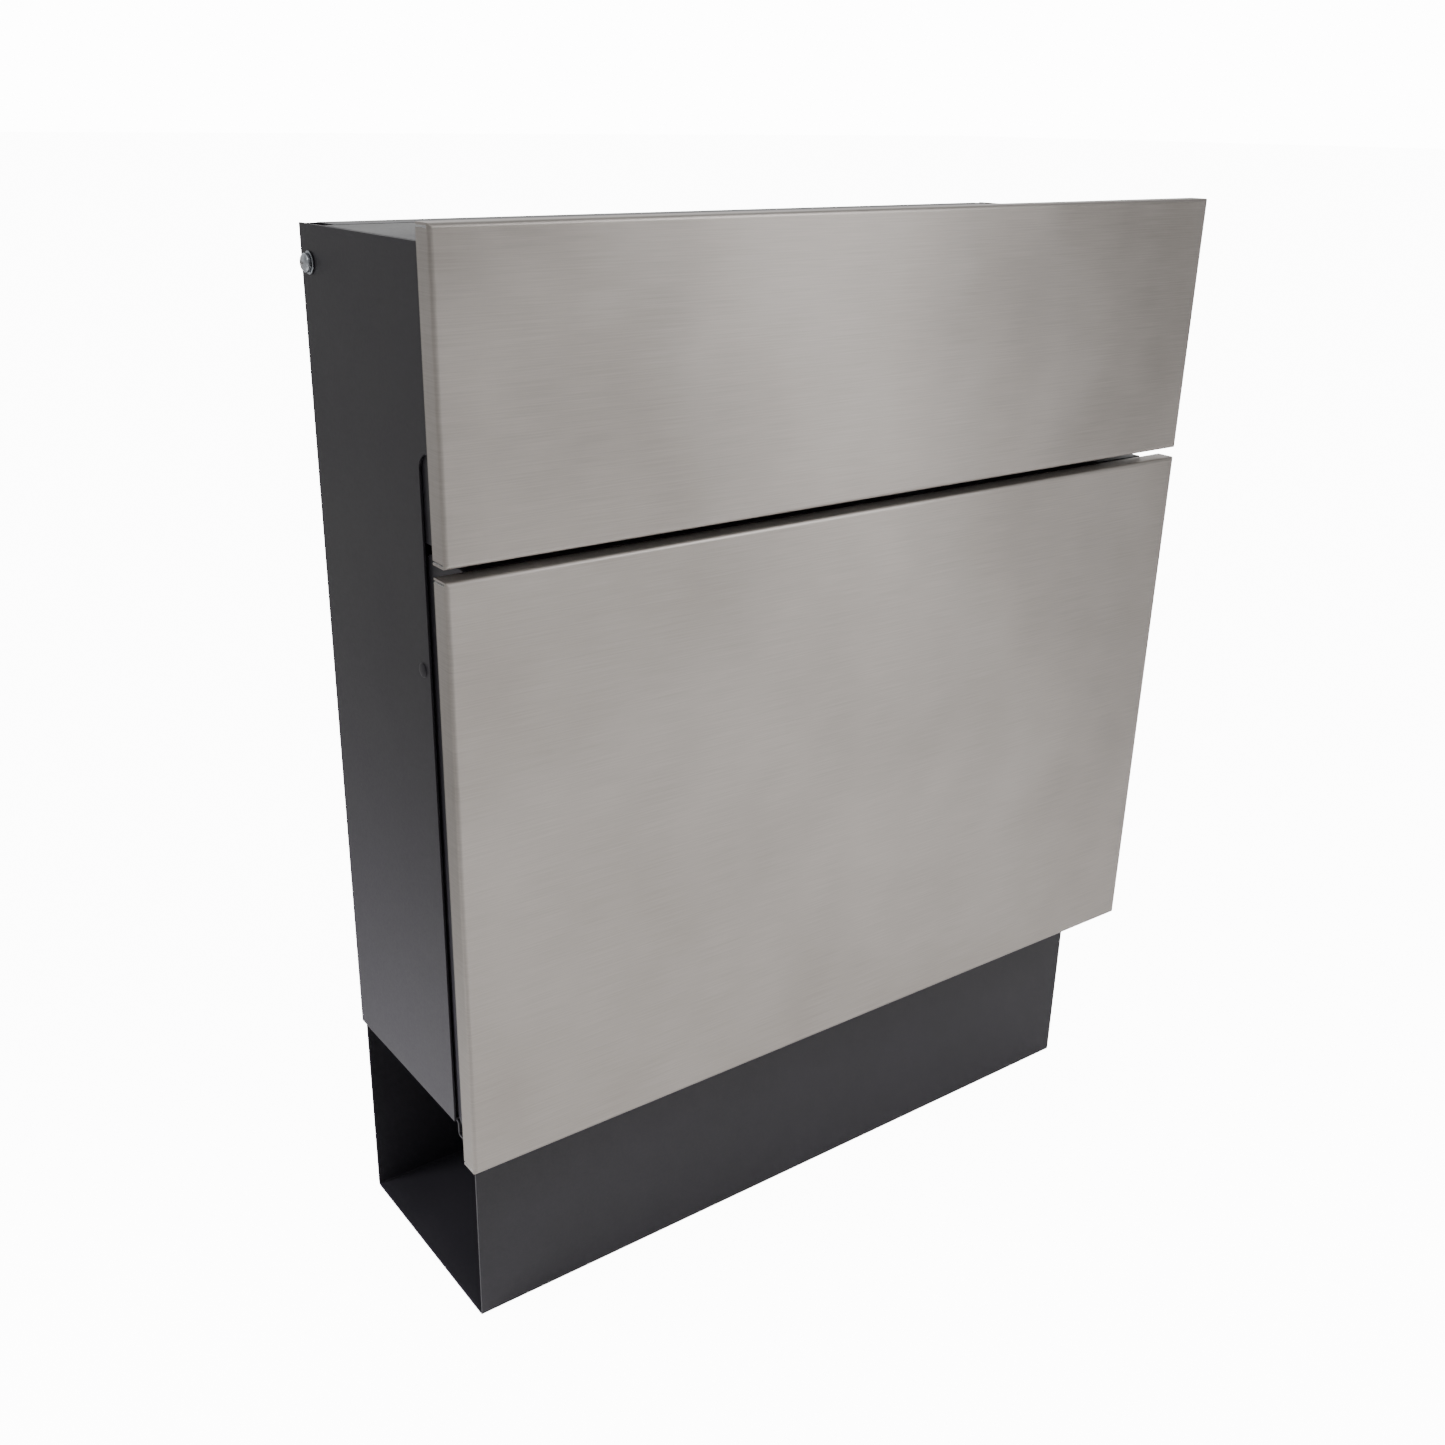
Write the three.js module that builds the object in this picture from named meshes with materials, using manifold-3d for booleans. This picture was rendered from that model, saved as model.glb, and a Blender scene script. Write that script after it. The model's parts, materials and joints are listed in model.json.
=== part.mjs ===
// Wall mounted letter box: a painted sheet-steel body with a stainless-fronted lid over the letter
// slot, a stainless-fronted drop-down door, a cam lock under the lid and an open-ended newspaper
// compartment below. Millimetres. X is to the right, Y runs from the front to the wall, Z is up.
// The origin is on the wall plane (the rear face of the back wall), at the middle of the four
// wall holes, which is also the middle of the body's height.

import * as THREE from 'three';
import { mergeVertices } from 'three/addons/utils/BufferGeometryUtils.js';
import Module from 'manifold-3d';

const wasm = await Module();
wasm.setup();

// ---------------------------------------------------------------- driving dimensions

const BODY_WIDTH = 351; // over the outer faces of the two side sheets
const BODY_HEIGHT = 342; // side sheets, top edge to bottom edge
const DEPTH = 125.5; // wall plane to the front of the stainless panels
const SHEET = 1; // painted sheet steel
const BEND = 0.8; // inside radius of a bend in painted sheet

const PANEL_OVERHANG = 9.5; // stainless panels past the body at each side
const PANEL_SHEET = 0.8;
const PANEL_RETURN = 9; // depth of the four folded returns, from the front face
const PANEL_FOLD = 1.6; // outside radius of the stainless folds
const PANEL_SLIT = 0.7; // open slit between two returns at a corner
const PANEL_RISE = 7.4; // upper panel above the top of the body
const UPPER_PANEL_HEIGHT = 107.6;
const PANEL_GAP = 4.25; // visible gap between the two panels
const PANEL_LIFT = 0.7; // lower panel's bottom edge above the body's bottom edge

const CHEEK_HEIGHT = 68.6; // full-depth top part of a side sheet
const CHEEK_CORNER = 6; // rounded inner corner where the side is cut back for the door
const DOOR_REBATE = 26.4; // side's cut-back edge, behind the front of the painted door shell
const SLOT_HEIGHT = 36.6; // letter slot, lid's underside to the ledge
const LEDGE_DEPTH = 20; // letter ledge on top of the fixed front band
const LEDGE_LIP = 10;
const FLANGE = 12; // flanges where two sheets are spot welded
const FLANGE_RELIEF = 2; // a side flange stops this far short of the edge it is folded from
const LID_REAR = 19.5; // lid sheet's rear edge, from the wall plane
const LID_LAP = 3; // apron's lower edge above the panel's bottom return
const LIP_CLEARANCE = 2; // lid's rear edge to the back wall's top lip
const LIP_END = 4; // the lip and the floor's front lip stop short of the sides by this and a flange
const FLOOR_LIP = 8; // height of the floor's front lip
const FLOOR_SETBACK = 0.8; // floor's front edge behind the side sheets' cut-back edge

const COMPARTMENT_INSET = 1.7; // compartment's ends inside the outer faces of the sides
const COMPARTMENT_HEIGHT = 91.8; // below the bottom of the body
const COMPARTMENT_SETBACK = 13.1; // its front face behind the front of the door shell
const COMPARTMENT_FLANGE = 20; // its two top flanges, riveted under the floor
const COMPARTMENT_TOP = 6.6; // its front wall's top below the body, clear of the door's swing

const DOOR_DROP = 3.6; // door shell's bottom edge below the body's bottom edge
const DOOR_FLANGE = 36.7; // depth of the door shell's side flanges
const DOOR_TOP_FLANGE = 24.7;
const DOOR_BOTTOM_FLANGE = 20.7;
const DOOR_FOLD = 1.8; // outside radius of the door shell's folds
const DOOR_CORNER = 12; // slanted rear corners of the side flanges
const DOOR_PIVOT_BACK = 4.7; // pin axis behind the front of the door shell
const DOOR_PIVOT_RISE = 6.4; // pin axis above the body's bottom edge
const DOOR_TOP_GAP = 1.85; // door shell's top to the fixed band, for the swing of its flange
const DIMPLE_BACK = 31.7; // snap dimple behind the front of the door shell
const DIMPLE_DROP = 148.6; // snap dimple below the body's top edge
const DIMPLE_RADIUS = 2.8;
const DIMPLE_HEIGHT = 0.9;
const DIMPLE_INNER = 0.75; // hollow side of a dimple, and the door's own dimple, to its outer radius

const BRACKET_SHEET = 1.5; // door hinge brackets
const BRACKET_EYE = 5.5; // radius round the pin
const BRACKET_UNDERCUT = 3.5; // arm's lower edge below the pin, clear of the door panel's return
const BRACKET_HEEL = 24; // rear end behind the floor's front edge
const BRACKET_FOOT = 14; // width of the foot
const BRACKET_NOTCH = 5; // notch in the door shell that the bracket's arm passes through

const LID_PIVOT_FROM_WALL = 8;
const LID_PIVOT_DROP = 13.6; // hinge screw axis below the body's top edge
const LID_EAR_RADIUS = 6;

const WALL_HOLE_RADIUS = 3.25;
const WALL_HOLE_INSET_X = 35.5; // wall holes from the body's outer edges
const WALL_HOLE_INSET_Z = 51;

const THREAD_RADIUS = 2; // M4 screws, studs and nuts
const NUT_ACROSS_FLATS = 7;
const NUT_HEIGHT = 3.2;
const SCREW_HEAD_RADIUS = 3.5;
const SCREW_HEAD_HEIGHT = 2.3;
const STUD_SHOULDER_RADIUS = 4;
const PIN_RADIUS = 2.5; // door hinge pins
const RIVET_RADIUS = 2;
const RIVET_HEAD_RADIUS = 4;
const RIVET_HEAD_HEIGHT = 1.4;
const RIVET_INSET = 10.5; // floor rivets from the side sheets' inner faces
const RIVET_SETBACK = 12; // front rivets behind the floor's front edge
const RIVET_FORWARD = 8; // rear rivets in front of the back wall's flanges
const WASHER_RADIUS = 4.2;
const WASHER_THICKNESS = 0.6;
const BUSH_RADIUS = 5;
const BUSH_THICKNESS = 0.8;

const LID_STUD_LENGTH = 7;
const LID_STUD_INSET_X = 24; // studs from the lid's side edges
const LID_STUD_DROP = 18.6; // upper studs below the body's top edge
const LID_STUD_RISE = 19.6; // lower studs above the panel's bottom edge
const DOOR_STUD_INSET_X = 38;
const DOOR_STUD_INSET_Z = 34;
const BUMPER_RADIUS = 5;
const BUMPER_INSET = 54; // rubber stops from the lid's side edges
const BUMPER_RISE = 18; // rubber stops above the band's lower edge
const DOOR_STOP_RADIUS = 4;
const DOOR_STOP_LENGTH = 7; // inward from the side sheet
const DOOR_STOP_Z = -20; // stop's height on the side sheet, clear of the snap dimple

const LOCK_BARREL_RADIUS = 9;
const LOCK_HEAD_RADIUS = 11;
const LOCK_HEAD_HEIGHT = 3;
const LOCK_BARREL_LENGTH = 17;
const LOCK_PLUG_RADIUS = 6.5;
const LOCK_NUT_ACROSS_FLATS = 22;
const LOCK_NUT_HEIGHT = 4;
const LOCK_CHAMFER = 1;
const PLUG_RECESS = 0.2; // plug's face inside the head
const PLUG_SQUARE = 7; // square end of the plug that turns the cam
const CAM_THICKNESS = 2;
const CAM_WIDTH = 16;
const CAM_ENGAGEMENT = 7; // cam's reach past the door's top flange when it is turned down
const CAM_CLEARANCE = 2; // round the cam in the door's top flange
const CAM_SCREW_LENGTH = 8;
const CAM_SCREW_CORNER = 4.5; // hexagon head, centre to corner
const CAM_SCREW_HEAD = 2.6; // height of the head, over its flange
const CAM_SCREW_FLANGE_RADIUS = 6;
const CAM_SCREW_FLANGE = 0.8;
const KEYWAY_WIDTH = 1.8;
const KEYWAY_HEIGHT = 7.6;
const KEYWAY_DEPTH = 6;

const GAP = 0.3; // between pieces that rest on, or are fixed to, each other
const RUNNING = 0.1; // radial clearance of a pin or thread in its hole
const SWING = 0.9; // side clearance of the door's flanges inside the side sheets
const LID_PLAY = 0.5; // side clearance of the lid between the cheeks
const OVERCUT = 1; // how far a cutting solid runs past the face it cuts

// ---------------------------------------------------------------- places worked out from them

const bodyTop = BODY_HEIGHT / 2;
const bodyBottom = -BODY_HEIGHT / 2;
const halfBody = BODY_WIDTH / 2;
const frontPlane = -DEPTH;
const behind = (distance) => frontPlane + distance; // a plane this far behind the front plane

const panelWidth = BODY_WIDTH + 2 * PANEL_OVERHANG;
const upperPanelTop = bodyTop + PANEL_RISE;
const upperPanelBottom = upperPanelTop - UPPER_PANEL_HEIGHT;
const lowerPanelTop = upperPanelBottom - PANEL_GAP;
const lowerPanelBottom = bodyBottom + PANEL_LIFT;
const lowerPanelHeight = lowerPanelTop - lowerPanelBottom;
const panelRear = behind(PANEL_SHEET);

const shellFront = behind(PANEL_RETURN + GAP);
const bandFront = behind(PANEL_RETURN + 1);
const sideCutBack = shellFront + DOOR_REBATE;
const cheekBottom = bodyTop - CHEEK_HEIGHT;
const innerFace = halfBody - SHEET; // inner face of a side sheet
const jointedHalf = innerFace - GAP; // sheets spot welded between the sides
const flangeDepth = jointedHalf - SHEET; // inner face of a welded flange

const ledgeTop = bodyTop - SHEET - SLOT_HEIGHT;
const bandBottom = lowerPanelTop + DOOR_TOP_GAP;
const floorTop = bodyBottom + SHEET;

const doorTop = lowerPanelTop;
const doorBottom = bodyBottom - DOOR_DROP;
const doorHalf = innerFace - SWING;
const doorPivot = new THREE.Vector3(0, shellFront + DOOR_PIVOT_BACK, bodyBottom + DOOR_PIVOT_RISE);
const dimplePlace = new THREE.Vector3(0, shellFront + DIMPLE_BACK, bodyTop - DIMPLE_DROP);

const lidHalf = innerFace - LID_PLAY;
const lidPivot = new THREE.Vector3(0, -LID_PIVOT_FROM_WALL, bodyTop - LID_PIVOT_DROP);
const lidFront = panelRear + GAP;

const lockAxis = new THREE.Vector3(0, bandFront, (ledgeTop + bandBottom) / 2);
const camFront = bandFront + LOCK_BARREL_LENGTH + GAP;
const camReach = lockAxis.z - doorTop + CAM_ENGAGEMENT;

const compartmentFront = shellFront + COMPARTMENT_SETBACK;
const floorFront = sideCutBack + FLOOR_SETBACK;
const bracketOuter = doorHalf - SHEET - LID_PLAY; // outer face of a hinge bracket's upright arm

// ---------------------------------------------------------------- making solids

const ORIGIN = new THREE.Vector3();
const AXIS = {
  x: new THREE.Vector3(1, 0, 0),
  y: new THREE.Vector3(0, 1, 0),
  z: new THREE.Vector3(0, 0, 1),
};
const ROUND = 20; // facets round a hole or a pin
const LOCK_ROUND = 40; // facets round the lock's barrel
const ARC = 3; // facets round a quarter bend
const GRID = 1000; // places are kept to a thousandth of a millimetre, so that flush faces meet exactly

/** A closed three.js geometry as a manifold solid; triangles with no area are dropped. */
function solid(geometry) {
  const bare = geometry.clone();
  bare.deleteAttribute('normal');
  bare.deleteAttribute('uv');
  const places = bare.attributes.position.array;
  places.forEach((value, i) => {
    places[i] = Math.round(value * GRID) / GRID;
  });
  const merged = mergeVertices(bare, 1e-4);
  const corners = merged.index.array;
  const kept = [];
  for (let i = 0; i < corners.length; i += 3) {
    const [a, b, c] = corners.slice(i, i + 3);
    if (a !== b && b !== c && c !== a) kept.push(a, b, c);
  }
  const vertProperties = new Float32Array(merged.attributes.position.array);
  return new wasm.Manifold(new wasm.Mesh({ numProp: 3, vertProperties, triVerts: new Uint32Array(kept) }));
}

/** A block between two corners. */
function block(x0, x1, y0, y1, z0, z1) {
  const geometry = new THREE.BoxGeometry(x1 - x0, y1 - y0, z1 - z0);
  return solid(geometry.translate((x0 + x1) / 2, (y0 + y1) / 2, (z0 + z1) / 2));
}

/** A flat outline drawn on the axes u and v, extruded along u x v, its middle at a given place. */
function prism(shape, length, u, v, place = ORIGIN) {
  const w = u.clone().cross(v);
  const settings = { depth: length, bevelEnabled: false, curveSegments: ARC };
  const geometry = new THREE.ExtrudeGeometry(shape, settings);
  geometry.translate(0, 0, -length / 2);
  geometry.applyMatrix4(new THREE.Matrix4().makeBasis(u, v, w));
  return solid(geometry.translate(place.x, place.y, place.z));
}

/** A turned solid about an axis through a point: profile pairs are [radius, distance along]. */
function turned(profile, axis, point, facets = ROUND) {
  const points = profile.map(([radius, along]) => new THREE.Vector2(radius, along));
  const geometry = new THREE.LatheGeometry(points, facets);
  geometry.applyQuaternion(new THREE.Quaternion().setFromUnitVectors(AXIS.y, axis));
  return solid(geometry.translate(point.x, point.y, point.z));
}

/** A plain round bar or, used as a cutter, a round hole. */
function bar(radius, from, to, axis, point, facets = ROUND) {
  return turned([[0, from], [radius, from], [radius, to], [0, to]], axis, point, facets);
}

/** The profile of a domed head that starts at a given distance along its axis. */
function domeProfile(radius, height, start) {
  const steps = 3;
  const rim = height * 0.35;
  const profile = [[radius, start], [radius, start + rim]];
  for (let i = 1; i <= steps; i += 1) {
    const angle = (i / steps) * (Math.PI / 2);
    profile.push([radius * Math.cos(angle), start + rim + (height - rim) * Math.sin(angle)]);
  }
  profile[profile.length - 1][0] = 0;
  return profile;
}

/** A closed outline of bent sheet, from the corners of its middle line and its thickness. */
function bentSection(corners, thickness = SHEET, bend = BEND) {
  const radius = bend + thickness / 2;
  const line = [];
  const add = (x, y, nx, ny) => line.push({ x, y, nx, ny });
  const pts = corners.map(([x, y]) => new THREE.Vector2(x, y));
  for (let i = 0; i < pts.length; i += 1) {
    const before = i > 0 ? pts[i].clone().sub(pts[i - 1]).normalize() : null;
    const after = i < pts.length - 1 ? pts[i + 1].clone().sub(pts[i]).normalize() : null;
    if (!before || !after) {
      const way = before ?? after;
      add(pts[i].x, pts[i].y, -way.y, way.x);
      continue;
    }
    const turn = Math.atan2(before.cross(after), before.dot(after));
    const cut = radius * Math.tan(Math.abs(turn) / 2);
    const side = Math.sign(turn);
    const start = pts[i].clone().addScaledVector(before, -cut);
    const square = new THREE.Vector2(-before.y, before.x);
    const centre = start.clone().addScaledVector(square, side * radius);
    for (let k = 0; k <= ARC; k += 1) {
      const normal = square.clone().rotateAround(new THREE.Vector2(), (turn * k) / ARC);
      const on = centre.clone().addScaledVector(normal, -side * radius);
      add(on.x, on.y, normal.x, normal.y);
    }
  }
  const half = thickness / 2;
  const left = line.map((p) => new THREE.Vector2(p.x + p.nx * half, p.y + p.ny * half));
  const right = line.map((p) => new THREE.Vector2(p.x - p.nx * half, p.y - p.ny * half));
  return new THREE.Shape([...right, ...left.reverse()]);
}

/** Bent sheet of constant section, given as [y, z] corners, running across the body. */
function bentAcross(corners, width) {
  return prism(bentSection(corners), width, AXIS.y, AXIS.z);
}

/** An outline of straight edges in the plane across a side, as [y, z] corners, one sheet thick. */
function plateAt(corners, x, thickness) {
  const shape = new THREE.Shape(corners.map(([y, z]) => new THREE.Vector2(y, z)));
  return prism(shape, thickness, AXIS.y, AXIS.z, new THREE.Vector3(x, 0, 0));
}

/** A rectangle as wide as given and as deep, its two front corners rounded. */
function roundedFront(width, depth, radius) {
  const half = width / 2;
  const shape = new THREE.Shape();
  shape.moveTo(half, depth);
  shape.lineTo(-half, depth);
  shape.lineTo(-half, radius);
  shape.absarc(-half + radius, radius, radius, Math.PI, 1.5 * Math.PI, false);
  shape.absarc(half - radius, radius, radius, 1.5 * Math.PI, 2 * Math.PI, false);
  return shape;
}

/** A block whose four front edges are rounded, the middle of its front face at a given place. */
function foldedBlock(width, height, depth, radius, place) {
  const plan = prism(roundedFront(width, depth, radius), height, AXIS.x, AXIS.y, place);
  const elevation = prism(roundedFront(height, depth, radius), width, AXIS.z, AXIS.y, place);
  return plan.intersect(elevation);
}

/** A tray folded from sheet: a front face with four returns, open to the rear. */
function foldedTray(width, height, depth, sheet, fold, place = ORIGIN) {
  const inside = place.clone().add(new THREE.Vector3(0, sheet, 0));
  const outer = foldedBlock(width, height, depth, fold, place);
  const inner = foldedBlock(width - 2 * sheet, height - 2 * sheet, depth + OVERCUT, fold - sheet, inside);
  return outer.subtract(inner);
}

// ---------------------------------------------------------------- the scene graph

const FINISH = {
  paint: { color: 0x3a3b3f, roughness: 0.62, metalness: 0 },
  stainless: { color: 0xb9b4ae, roughness: 0.34, metalness: 1 },
  zinc: { color: 0xc8ccd0, roughness: 0.35, metalness: 1 },
  rubber: { color: 0x1c1c1d, roughness: 0.9, metalness: 0 },
  nylon: { color: 0xe6e4dc, roughness: 0.55, metalness: 0 },
};

/** A named mesh of one piece, made from its finished solid. */
function piece(name, finish, body) {
  const mesh = body.getMesh();
  const geometry = new THREE.BufferGeometry();
  geometry.setAttribute('position', new THREE.BufferAttribute(mesh.vertProperties, 3));
  geometry.setIndex(new THREE.BufferAttribute(mesh.triVerts, 1));
  geometry.computeVertexNormals();
  const made = new THREE.Mesh(geometry, new THREE.MeshStandardMaterial(FINISH[finish]));
  made.name = name;
  return made;
}

/** Places a piece and returns it. */
function at(made, x, y, z) {
  made.position.set(x, y, z);
  return made;
}

const SIDES = [
  { name: 'left', sign: -1 },
  { name: 'right', sign: 1 },
];

// ---------------------------------------------------------------- fasteners, made about their own axes

/** Hexagon nut about the Y axis, its front face on y = 0. */
function hexNut(acrossFlats, height, boreRadius, facets = ROUND) {
  const corner = acrossFlats / Math.sqrt(3);
  const body = bar(corner, 0, height, AXIS.y, ORIGIN, 6);
  return body.subtract(bar(boreRadius, -OVERCUT, height + OVERCUT, AXIS.y, ORIGIN, facets));
}

/** Weld stud about the Y axis: a plain shoulder, if any, and then the threaded end. */
function weldStud(shoulder, length) {
  const shank = bar(THREAD_RADIUS, 0, length, AXIS.y, ORIGIN);
  return shoulder > 0 ? shank.add(bar(STUD_SHOULDER_RADIUS, 0, shoulder, AXIS.y, ORIGIN)) : shank;
}

/** Rivet about the Z axis: domed head above z = 0, a shank through the sheets, a flat head below. */
function rivet(grip) {
  const head = domeProfile(RIVET_HEAD_RADIUS, RIVET_HEAD_HEIGHT, 0);
  const end = -grip - RIVET_HEAD_HEIGHT * 0.8;
  const spread = RIVET_HEAD_RADIUS * 0.85;
  const foot = [[0, end], [spread, end], [spread, -grip]];
  return turned([...foot, [RIVET_RADIUS, -grip], [RIVET_RADIUS, 0], ...head], AXIS.z, ORIGIN);
}

// ---------------------------------------------------------------- body sheets

/** Side sheet: full depth at the cheek, cut back below it for the door, with the snap dimple. */
function sideSheet(sign) {
  const shape = new THREE.Shape();
  shape.moveTo(0, bodyBottom);
  shape.lineTo(0, bodyTop);
  shape.lineTo(bandFront, bodyTop);
  shape.lineTo(bandFront, cheekBottom);
  shape.lineTo(sideCutBack - CHEEK_CORNER, cheekBottom);
  shape.absarc(sideCutBack - CHEEK_CORNER, cheekBottom - CHEEK_CORNER, CHEEK_CORNER, Math.PI / 2, 0, true);
  shape.lineTo(sideCutBack, bodyBottom);
  const outward = AXIS.x.clone().multiplyScalar(sign);
  const middle = halfBody - SHEET / 2;
  const hollow = DIMPLE_RADIUS * DIMPLE_INNER;
  const start = innerFace - OVERCUT;
  const dome = [[0, middle], [DIMPLE_RADIUS, middle], ...domeProfile(DIMPLE_RADIUS, DIMPLE_HEIGHT, halfBody)];
  const cut = [[0, start], [hollow, start], ...domeProfile(hollow, DIMPLE_HEIGHT, innerFace)];
  return prism(shape, SHEET, AXIS.y, AXIS.z, new THREE.Vector3(sign * middle, 0, 0))
    .add(turned(dome, outward, dimplePlace))
    .subtract(turned(cut, outward, dimplePlace))
    .subtract(bar(THREAD_RADIUS + RUNNING, start, halfBody + OVERCUT, outward, lidPivot));
}

/** Back wall: wall holes, welding flanges up both sides, and the lip that closes the top rear. */
function backWall() {
  const middle = -SHEET / 2;
  const lipFront = LIP_CLEARANCE - LID_REAR;
  const lipHalf = flangeDepth - LIP_END;
  const flangeTop = lidPivot.z - 2 * LID_EAR_RADIUS;
  const flangeBottom = floorTop + FLANGE + 2 * GAP;
  const top = bodyTop - SHEET / 2;
  let wall = bentAcross([[lipFront, top], [middle, top], [middle, bodyBottom]], 2 * jointedHalf);
  for (const { sign } of SIDES) {
    const inner = Math.min(sign * flangeDepth, sign * jointedHalf);
    wall = wall.add(block(inner, inner + SHEET, -SHEET - FLANGE, -SHEET / 2, flangeBottom, flangeTop));
    const cut = Math.min(sign * lipHalf, sign * (halfBody + OVERCUT));
    const cutEnd = cut + halfBody + OVERCUT - lipHalf;
    wall = wall.subtract(
      block(cut, cutEnd, lipFront - OVERCUT, -SHEET, bodyTop - SHEET - BEND, bodyTop + OVERCUT));
    for (const up of [-1, 1]) {
      const x = sign * (halfBody - WALL_HOLE_INSET_X);
      const place = new THREE.Vector3(x, 0, up * (bodyTop - WALL_HOLE_INSET_Z));
      wall = wall.subtract(bar(WALL_HOLE_RADIUS, -SHEET - OVERCUT, OVERCUT, AXIS.y, place));
    }
  }
  return wall;
}

/** The four rivets that hold the floor, the hinge brackets and the compartment together. */
const rivetPlaces = SIDES.flatMap(({ sign }) => [
  { x: sign * (innerFace - RIVET_INSET), y: floorFront + RIVET_SETBACK, bracket: true },
  { x: sign * (innerFace - RIVET_INSET), y: -SHEET - FLANGE - RIVET_FORWARD, bracket: false },
]);

/** Holes for the floor rivets, to be cut from whatever they pass through. */
function withRivetHoles(sheet) {
  return rivetPlaces.reduce((body, { x, y }) => {
    const place = new THREE.Vector3(x, y, bodyBottom);
    return body.subtract(bar(RIVET_RADIUS + RUNNING, -5 * OVERCUT, 5 * OVERCUT, AXIS.z, place));
  }, sheet);
}

/** Floor: a pan with a low front lip, a rear flange and welding flanges at both sides. */
function floorPan() {
  const middle = floorTop - SHEET / 2;
  const rear = -SHEET - GAP - SHEET / 2;
  let floor = bentAcross([[rear, floorTop + FLANGE], [rear, middle], [floorFront, middle]], 2 * jointedHalf);
  const lip = flangeDepth - 2 * LIP_END;
  floor = floor.add(block(-lip, lip, floorFront, floorFront + SHEET, middle, floorTop + FLOOR_LIP));
  for (const { sign } of SIDES) {
    const inner = Math.min(sign * flangeDepth, sign * jointedHalf);
    const flangeFront = shellFront + DOOR_FLANGE + LIP_END;
    floor = floor.add(block(inner, inner + SHEET, flangeFront, rear - SHEET, middle, floorTop + FLANGE));
  }
  return withRivetHoles(floor);
}

/** Fixed front band: the letter ledge, the face that carries the lock, and its two side flanges. */
function frontBand() {
  const face = bandFront + SHEET / 2;
  const ledge = ledgeTop - SHEET / 2;
  const ledgeRear = bandFront + LEDGE_DEPTH;
  const section = [[face, bandBottom], [face, ledge], [ledgeRear, ledge], [ledgeRear, ledge - LEDGE_LIP]];
  let band = bentAcross(section, 2 * jointedHalf);
  const flangeRear = sideCutBack + FLANGE;
  const flangeTop = ledge - LEDGE_LIP / 2;
  const flangeBottom = bandBottom + FLANGE_RELIEF;
  for (const { sign } of SIDES) {
    band = band.add(plateAt([[face, flangeBottom], [flangeRear, flangeBottom], [flangeRear, flangeTop],
      [ledgeRear, flangeTop], [ledgeRear, ledge], [face, ledge]], sign * (jointedHalf - SHEET / 2), SHEET));
  }
  const hole = LOCK_BARREL_RADIUS + RUNNING;
  return band.subtract(bar(hole, -OVERCUT, SHEET + OVERCUT, AXIS.y, lockAxis, LOCK_ROUND));
}

/** Newspaper compartment: one bent sheet, open at both ends, with two flanges under the floor. */
function newspaperCompartment() {
  const underFloor = bodyBottom - GAP - SHEET / 2;
  const shoulder = bodyBottom - COMPARTMENT_TOP - SHEET / 2;
  const front = compartmentFront + SHEET / 2;
  const rear = -SHEET / 2;
  const bottom = bodyBottom - COMPARTMENT_HEIGHT + SHEET / 2;
  const riser = floorFront - SHEET / 2;
  const section = [
    [riser + COMPARTMENT_FLANGE, underFloor], [riser, underFloor], [riser, shoulder], [front, shoulder],
    [front, bottom], [rear, bottom], [rear, underFloor], [rear - FLANGE - COMPARTMENT_FLANGE, underFloor],
  ];
  return withRivetHoles(bentAcross(section, BODY_WIDTH - 2 * COMPARTMENT_INSET));
}

// ---------------------------------------------------------------- door hinge

/** Hinge bracket: an upright ear round the pin, and a foot riveted to the floor. */
function hingeBracket(sign) {
  const { y, z } = doorPivot;
  const heel = floorFront + BRACKET_HEEL;
  const lower = z - BRACKET_UNDERCUT;
  const upper = z + BRACKET_EYE;
  const foot = floorTop + GAP;
  const inner = bracketOuter - BRACKET_SHEET;
  const step = 2 * BRACKET_SHEET;
  const outline = [[y, lower], [floorFront - step / 2, lower], [floorFront + step, foot], [heel, foot],
    [heel, upper - step], [heel - step, upper], [y, upper]];
  const arm = plateAt(outline, sign * (inner + BRACKET_SHEET / 2), BRACKET_SHEET);
  const outward = AXIS.x.clone().multiplyScalar(sign);
  const eye = bar(BRACKET_EYE, inner, bracketOuter, outward, doorPivot);
  const padEnd = Math.min(sign * (bracketOuter - BRACKET_FOOT), sign * bracketOuter);
  const padFront = floorFront + step + SHEET;
  const pad = block(padEnd, padEnd + BRACKET_FOOT, padFront, heel, foot, foot + BRACKET_SHEET);
  return withRivetHoles(arm.add(eye).add(pad))
    .subtract(bar(PIN_RADIUS + RUNNING, inner - OVERCUT, bracketOuter + OVERCUT, outward, doorPivot));
}

/** Hinge pin: a shouldered rivet whose domed head lies on the outside of the door's flange. */
function hingePin(sign) {
  const inner = bracketOuter - BRACKET_SHEET - GAP;
  const end = inner - RIVET_HEAD_HEIGHT;
  const head = doorHalf + GAP;
  const profile = [[0, end], [RIVET_HEAD_RADIUS, end], [RIVET_HEAD_RADIUS, inner], [PIN_RADIUS, inner],
    [PIN_RADIUS, head], ...domeProfile(RIVET_HEAD_RADIUS, SHEET + SWING - 2 * GAP, head)];
  return turned(profile, AXIS.x.clone().multiplyScalar(sign), doorPivot);
}

// ---------------------------------------------------------------- lid

const lidStudPlaces = SIDES.flatMap(({ sign }) => [
  { x: sign * (lidHalf - LID_STUD_INSET_X), z: bodyTop - LID_STUD_DROP },
  { x: sign * (lidHalf - LID_STUD_INSET_X), z: upperPanelBottom + LID_STUD_RISE },
]);

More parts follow.
